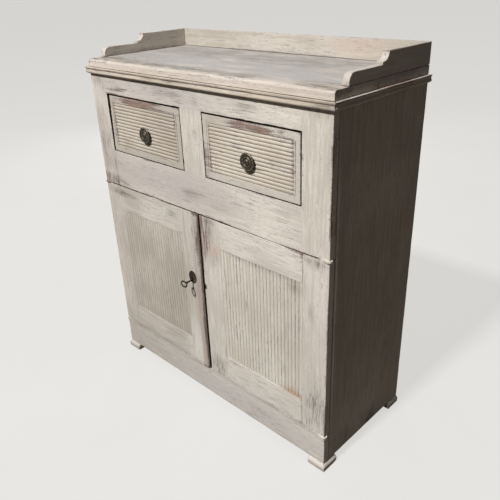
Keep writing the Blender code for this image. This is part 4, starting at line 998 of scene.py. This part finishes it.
for hand, sign in HANDS:
    body = f"{hand}_door"
    stile_coat, rail_coat, panel_coat = door_paints[hand]
    low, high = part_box(f"{hand}_door_hinge_stile")
    meeting_low, meeting_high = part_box("left_door_lock_stile" if sign < 0 else "right_door_meeting_stile")
    x_low = min(low.x, meeting_low.x)
    x_high = max(high.x, meeting_high.x)
    middle_x = (x_low + x_high) / 2
    panel_low = low.z + BOTTOM_RAIL
    panel_high = high.z - TOP_RAIL
    bm = block((x_low, FRONT_Y, low.z), (x_high, high.y, high.z))
    hollow_out(bm, x_low + STILE, x_high - STILE, panel_low, panel_high, PANEL_ARRIS, FRONT_Y, high.y)
    if sign < 0:
        bolt_low, bolt_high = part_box("lock_bolt")
        cut_out(bm, (x_high - BOLT_WAY, bolt_low.y - BOLT_PLAY, BOLT_HEAD[0] - BOLT_PLAY),
                (x_high, bolt_high.y + BOLT_PLAY, BOLT_HEAD[1] + BOLT_PLAY), [(0, 1)])
        hollow_out(bm, *KEYHOLE, KEYHOLE_ARRIS, FRONT_Y, high.y, KEYHOLE_DEPTH)
    else:
        cut_out(bm, (x_low, FRONT_Y, BOLT_HEAD[0] - MORTISE_PLAY),
                (x_low + MORTISE_WIDE, FRONT_Y + MORTISE_DEEP, BOLT_HEAD[1] + MORTISE_PLAY), [(0, -1), (1, -1)])
        line = x_high - STILE
        for foot, head in ((low.z, panel_low), (panel_high, high.z)):
            hollow_out(bm, line, line + JOINT_LINE, foot + JOINT_SHORT, head - JOINT_SHORT, JOINT_ARRIS, FRONT_Y,
                       high.y, JOINT_SUNK)
    sharp_low = BOLT_HEAD[0] - SHARP_RIM
    sharp_high = BOLT_HEAD[1] + SHARP_RIM
    ease(bm, FRAME_ARRIS, left_sharp=lambda spot: abs(spot.x) < SHARP_REACH and sharp_low < spot.z < sharp_high)
    divide(bm, step=0.012)
    for line in (x_low + STILE, x_high - STILE, SHADED_MARGIN_EDGE):
        saw(bm, 0, line)
    panel_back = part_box(f"{hand}_door_panel")[1].y
    saw(bm, 1, panel_back - PANEL_LEDGE)
    saw(bm, 1, FRONT_Y + GAP_SHADE_DEPTH)
    if sign > 0:
        for vert in bm.verts:
            share = max(0, min(1, (x_low + PLANED_REACH - vert.co.x) / PLANED_FADE))
            fall = (high.z - vert.co.z) / (high.z - low.z)
            vert.co.x += share * (MEETING_PLANED[0] + fall * (MEETING_PLANED[1] - MEETING_PLANED[0]))
    age(bm, hollow=0.0006, chip=0.0014, spots=on_front(door_marks[hand]))

    def door_face(way, spot):
        """Bare wood behind, near-black wood as painted shade along the front of the gaps and beside the bead, level
        brushing on the rails, upright brushing on the stiles.
        """
        at_ledge = spot.y > panel_back - PANEL_LEDGE and abs(spot.x - middle_x) < x_high - middle_x - STILE / 2
        if way.y > 0.5 or at_ledge:
            return 3
        at_end = not low.z + DOOR_EDGE < spot.z < high.z - DOOR_EDGE
        if way.y > -0.5 and (abs(spot.x) < MEETING_EDGE or at_end):
            return 1 if spot.y < FRONT_Y + GAP_SHADE_DEPTH else 3
        # The narrow strip between the bead and the meeting edge takes the near-black pine: painted shade beside the
        # gap.
        if SHADED_MARGIN_EDGE < spot.x < 0:
            return 1
        return 2 if x_low + STILE < spot.x < x_high - STILE else 0

    meeting_stile = "lock_stile" if sign < 0 else "meeting_stile"
    nodes = [f"{hand}_door_{part}" for part in ("hinge_stile", meeting_stile, "top_rail", "bottom_rail")]
    put(f"{hand}_door_frame", bm, [stile_coat, gap_shade_pine, rail_coat, upright_pine], body, nodes,
        door_face)

    bm = bmesh.new()
    left = x_low + STILE
    right = x_high - STILE
    reed_depth = PANEL_DEPTHS[hand]
    crest = FRONT_Y + REED_CREST
    valley = crest + reed_depth
    foot = panel_low - PANEL_HELD
    outline = reeds(bm, (left, valley, foot), (right, valley, foot), PANEL_REEDS, reed_depth, (0, -1, 0), steps=10)
    outline += [bm.verts.new((right, panel_back, foot)), bm.verts.new((left, panel_back, foot))]
    height = panel_high - panel_low + 2 * PANEL_HELD
    draw_out(bm, (0, 0, height), outline)
    slice_up(bm, 2, foot, foot + height, count=36)
    for step in range(1, 10):
        saw(bm, 2, foot + RUN_OUT * step / 8)
        saw(bm, 2, foot + height - RUN_OUT * step / 8)
    for vert in bm.verts:
        if vert.co.y < panel_back - PANEL_SKIN:
            from_end = min(vert.co.z - foot, foot + height - vert.co.z) - PANEL_HELD
            ramp = max(0, from_end) * reed_depth / RUN_OUT
            at_side = min(vert.co.x - left, right - vert.co.x) < (right - left) / PANEL_REEDS / 2
            vert.co.y = crest if at_side else min(vert.co.y, crest + ramp)
    age(bm, hollow=0.0003, chip=0.0, spots=on_front(panel_marks[hand]))
    dirty_hollows(bm, crest, reed_depth, strength=0.7)
    put(f"{hand}_door_reeds", bm, [panel_coat, upright_pine], body, [f"{hand}_door_panel"],
        lambda way, spot: way.y > 0.5)

# Bead: a half-round run along the left door's meeting edge, which covers the gap between the doors.
# Its lower half is rubbed to a purplish brown.
bead_paint = paint("bead_paint", (204, 195, 184), (172, 161, 150), (180, 158, 146), "z", wear=0.6, grime=0.6,
                   wood=(tone(126, 104, 90), tone(76, 58, 46)))
BEAD_WIDTH = 0.0255
BEAD_PROUD = 0.004
BEAD_MARGIN = 0.002
BEAD_SUNK = 0.0006
low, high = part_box("left_door_lock_stile")
bead_right = high.x - BEAD_MARGIN
bead_left = bead_right - BEAD_WIDTH
bm = bmesh.new()
outline = reeds(bm, (bead_left, FRONT_Y, low.z), (bead_right, FRONT_Y, low.z), 1, BEAD_PROUD, (0, -1, 0), steps=16)
outline += [bm.verts.new((x, FRONT_Y + BEAD_SUNK, low.z)) for x in (bead_right, bead_left)]
draw_out(bm, (0, 0, high.z - low.z), outline)
slice_up(bm, 2, low.z, high.z, count=46)
bead_marks = {
    "tint": [(bead_right, 0.24, 0.022, 0.22, 1.0)],
    "wear": [(bead_right, 0.37, 0.010, 0.40, 1.1), (bead_right - 0.008, 0.555, 0.018, 0.085, 0.8),
             (bead_right - 0.004, 0.20, 0.014, 0.16, 0.4)],
    # The grime along the bead's left foot is painted shade where the bead meets the stile.
    "grime": [(bead_left, 0.37, 0.004, 0.4, 0.8)],
}
age(bm, hollow=0.0004, chip=0.0010, spots=on_front(bead_marks))
put("meeting_bead", bm, [bead_paint], "left_door", [])

# Escutcheon: a thin oval plate of dark bronze over the keyhole, held by two small pins.
# The slot for the key's bit stands above the key.
plate_bronze = metal("plate_bronze", tone(38, 32, 26), tone(112, 88, 68), tone(24, 20, 16), roughness=0.55)
PLATE_SHIFT = Vector((0.002, 0, 0.010))
PLATE_WIDTH = 0.032
PLATE_HEIGHT = 0.040
PLATE_ROUND = 0.0011
PIN_SPACING = 0.0155
PIN_RADIUS = 0.0014
PIN_SUNK = 0.0002
PIN_FLAT = 0.35
low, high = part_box("escutcheon")
centre = Vector((KEY_X, 0, KEY_Z)) + PLATE_SHIFT
bm = bmesh.new()
place = Matrix.Translation((centre.x, high.y, centre.z)) @ Matrix.Rotation(math.radians(90), 4, "X")
bmesh.ops.create_circle(bm, cap_ends=True, segments=56, radius=0.5,
                        matrix=place @ Matrix.Diagonal((PLATE_WIDTH, PLATE_HEIGHT, 1, 1)))
draw_out(bm, (0, low.y - high.y, 0))
rim = [edge for edge in bm.edges if all(vert.co.y < low.y + 0.0001 for vert in edge.verts)]
bmesh.ops.bevel(bm, geom=rim, offset=PLATE_ROUND, affect="EDGES", segments=3, profile=0.5, material=-1)
hollow_out(bm, *KEYHOLE, KEYHOLE_ARRIS, low.y, high.y)
for pin_z in (centre.z + PIN_SPACING, centre.z - PIN_SPACING):
    place = Matrix.Translation((centre.x, low.y + PIN_SUNK, pin_z)) @ Matrix.Diagonal((1, PIN_FLAT, 1, 1))
    bmesh.ops.create_icosphere(bm, subdivisions=2, radius=PIN_RADIUS, matrix=place)
marks = [("wear", (centre.x + 0.011, low.y, centre.z - 0.004), (0.009, 0.01, 0.018), 1.4)]
age(bm, hollow=0.00005, chip=0.0, spots=marks)
put("keyhole_plate", bm, [plate_bronze], "left_door", ["escutcheon"])

# Lock: a folded iron case let into the back of the lock stile, with the bolt in it.
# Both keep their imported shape.
iron = metal("old_iron", tone(60, 55, 50), tone(150, 142, 132), tone(66, 48, 36), roughness=0.5)
for name in ("lock_case", "lock_bolt"):
    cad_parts[name].material_slots[0].material = iron

# Key: an iron key with a round shank, a collar and an oval bow bent from wire, its bit inside the lock.
# Handling has rubbed the bow a little brighter.
key_iron = metal("key_iron", tone(42, 35, 29), tone(74, 64, 53), tone(30, 24, 19), roughness=0.5)
KEY_SHANK = 0.024
KEY_RADIUS = 0.0024
KEY_END = 0.0165
BOW_WIDTH = 0.024
BOW_LENGTH = 0.018
BOW_WIRE = 0.0024
BOW_TILT = -40.0
BIT_REACH = 0.0095
BIT_HALF = 0.0014
spot = Vector((KEY_X, FRONT_Y, KEY_Z))
bm = bmesh.new()
turn(bm, [(0, -KEY_END), (0.0020, -KEY_END), (KEY_RADIUS, -KEY_END + 0.0006), (KEY_RADIUS, KEY_SHANK - 0.0040),
          (0.0034, KEY_SHANK - 0.0034), (0.0040, KEY_SHANK - 0.0022), (0.0036, KEY_SHANK - 0.0010),
          (0.0026, KEY_SHANK - 0.0004), (0.0029, KEY_SHANK + 0.0008), (0.0026, KEY_SHANK + 0.0020),
          (0, KEY_SHANK + 0.0026)], spot, steps=28)
tilt = Matrix.Translation(spot) @ Matrix.Rotation(-math.radians(BOW_TILT), 4, "Y")
bow = bmesh.new()
wire = Matrix.Translation((BOW_WIDTH / 2 - BOW_WIRE, 0, 0)) @ Matrix.Rotation(math.radians(90), 4, "X")
bmesh.ops.create_circle(bow, segments=14, radius=BOW_WIRE, matrix=wire)
bmesh.ops.spin(bow, geom=bow.verts[:] + bow.edges[:], cent=(0, 0, 0), axis=(0, 0, 1), angle=math.tau, steps=48,
               use_merge=True)
bmesh.ops.remove_doubles(bow, verts=bow.verts, dist=0.000001)
bmesh.ops.recalc_face_normals(bow, faces=bow.faces)
bmesh.ops.scale(bow, verts=bow.verts, vec=(1, BOW_LENGTH / BOW_WIDTH, 1))
bmesh.ops.transform(bow, matrix=tilt @ Matrix.Translation((0, -KEY_SHANK - BOW_LENGTH / 2, 0)), verts=bow.verts)
bit = block((-BIT_REACH, KEY_END - 0.0065, -BIT_HALF), (-KEY_RADIUS / 2, KEY_END - 0.0005, BIT_HALF))
cut_out(bit, (-BIT_REACH, KEY_END - 0.0040, -BIT_HALF), (-BIT_REACH + 0.003, KEY_END - 0.0030, BIT_HALF),
        [(0, -1), (2, 1), (2, -1)])
ease(bit, arris=0.0003)
bmesh.ops.transform(bit, matrix=tilt, verts=bit.verts)
for part in (bow, bit):
    spare = mesh_of("key_part", part)
    bm.from_mesh(spare)
    bpy.data.meshes.remove(spare)
marks = [("wear", (KEY_X, FRONT_Y - 0.036, KEY_Z), (0.014, 0.010, 0.014), 0.7)]
age(bm, hollow=0.00004, chip=0.0, spots=marks)
put("lock_key", bm, [key_iron], "key", ["key"])

# Floor, light and camera: a plain pale floor, a soft lamp high in front and a weak one behind on the left.
# The camera stands a little above the top, off the right front corner.


def seen_by(tree, *rays):
    """1 where the camera or another of these kinds of ray looks, and 0 for what lights the cabinet."""
    path = add(tree, "ShaderNodeLightPath", {})
    seen = path.outputs["Is Camera Ray"]
    for ray in rays:
        seen = calc("MAXIMUM", seen, path.outputs[ray])
    return seen


bm = bmesh.new()
bmesh.ops.create_circle(bm, cap_ends=True, segments=64, radius=40)
floor = set_up("floor", mesh_of("floor", bm))
floor_pale, tree, shader, spot = start_material("floor_pale")
shade = mix(rise(cloud(spot, 1.5, 4), 0.3, 0.7), tone(206, 204, 200), tone(216, 214, 210))
seen = seen_by(tree, "Is Glossy Ray")
tree.links.new(mix(seen, tone(76, 68, 59), shade), shader.inputs["Base Color"])
glow = add(tree, "ShaderNodeEmission", {"Color": tone(226, 225, 222), "Strength": 1.06})
share = times(seen, 0.8)
veil = add(tree, "ShaderNodeMixShader", {0: share, 1: shader.outputs[0], 2: glow.outputs[0]})
tree.links.new(veil.outputs[0], tree.nodes["Material Output"].inputs["Surface"])
shader.inputs["Roughness"].default_value = 0.9
floor.data.materials.append(floor_pale)

world = bpy.data.worlds.new("studio")
bpy.context.scene.world = world
world.use_nodes = True
tree = world.node_tree
tree.nodes.clear()
seen = seen_by(tree, "Is Glossy Ray", "Is Transmission Ray")
lit = add(tree, "ShaderNodeBackground", {"Color": tone(228, 226, 224), "Strength": 0.062})
shown = add(tree, "ShaderNodeBackground", {"Color": tone(226, 225, 222), "Strength": 0.86})
both = add(tree, "ShaderNodeMixShader", {0: seen, 1: lit.outputs[0], 2: shown.outputs[0]})
add(tree, "ShaderNodeOutputWorld", {"Surface": both.outputs[0]})


def soft_lamp(name, place, aim, size, power):
    """A square soft lamp that looks at a point."""
    light = bpy.data.lights.new(name, "AREA")
    light.size = size
    light.energy = power
    lamp = set_up(name, light)
    lamp.location = place
    lamp.rotation_euler = (Vector(aim) - Vector(place)).to_track_quat("-Z", "Y").to_euler()


soft_lamp("front_lamp", (0.20, -5.15, 6.92), (0, -0.16, 0.69), size=0.55, power=893)
soft_lamp("rear_lamp", (-2.6, 2.4, 1.1), (0, 0, 0.5), size=1.5, power=45)

lens = bpy.data.cameras.new("viewpoint")
lens.sensor_fit = "HORIZONTAL"
lens.sensor_width = 36
lens.lens = 40.495
camera = set_up("viewpoint", lens)
camera.location = (1.07695, -1.05513, 1.20893)
camera.rotation_euler = [math.radians(angle) for angle in (63.5459, 2.0676, 43.8084)]
bpy.context.scene.camera = camera
bpy.context.scene.view_settings.view_transform = "Standard"
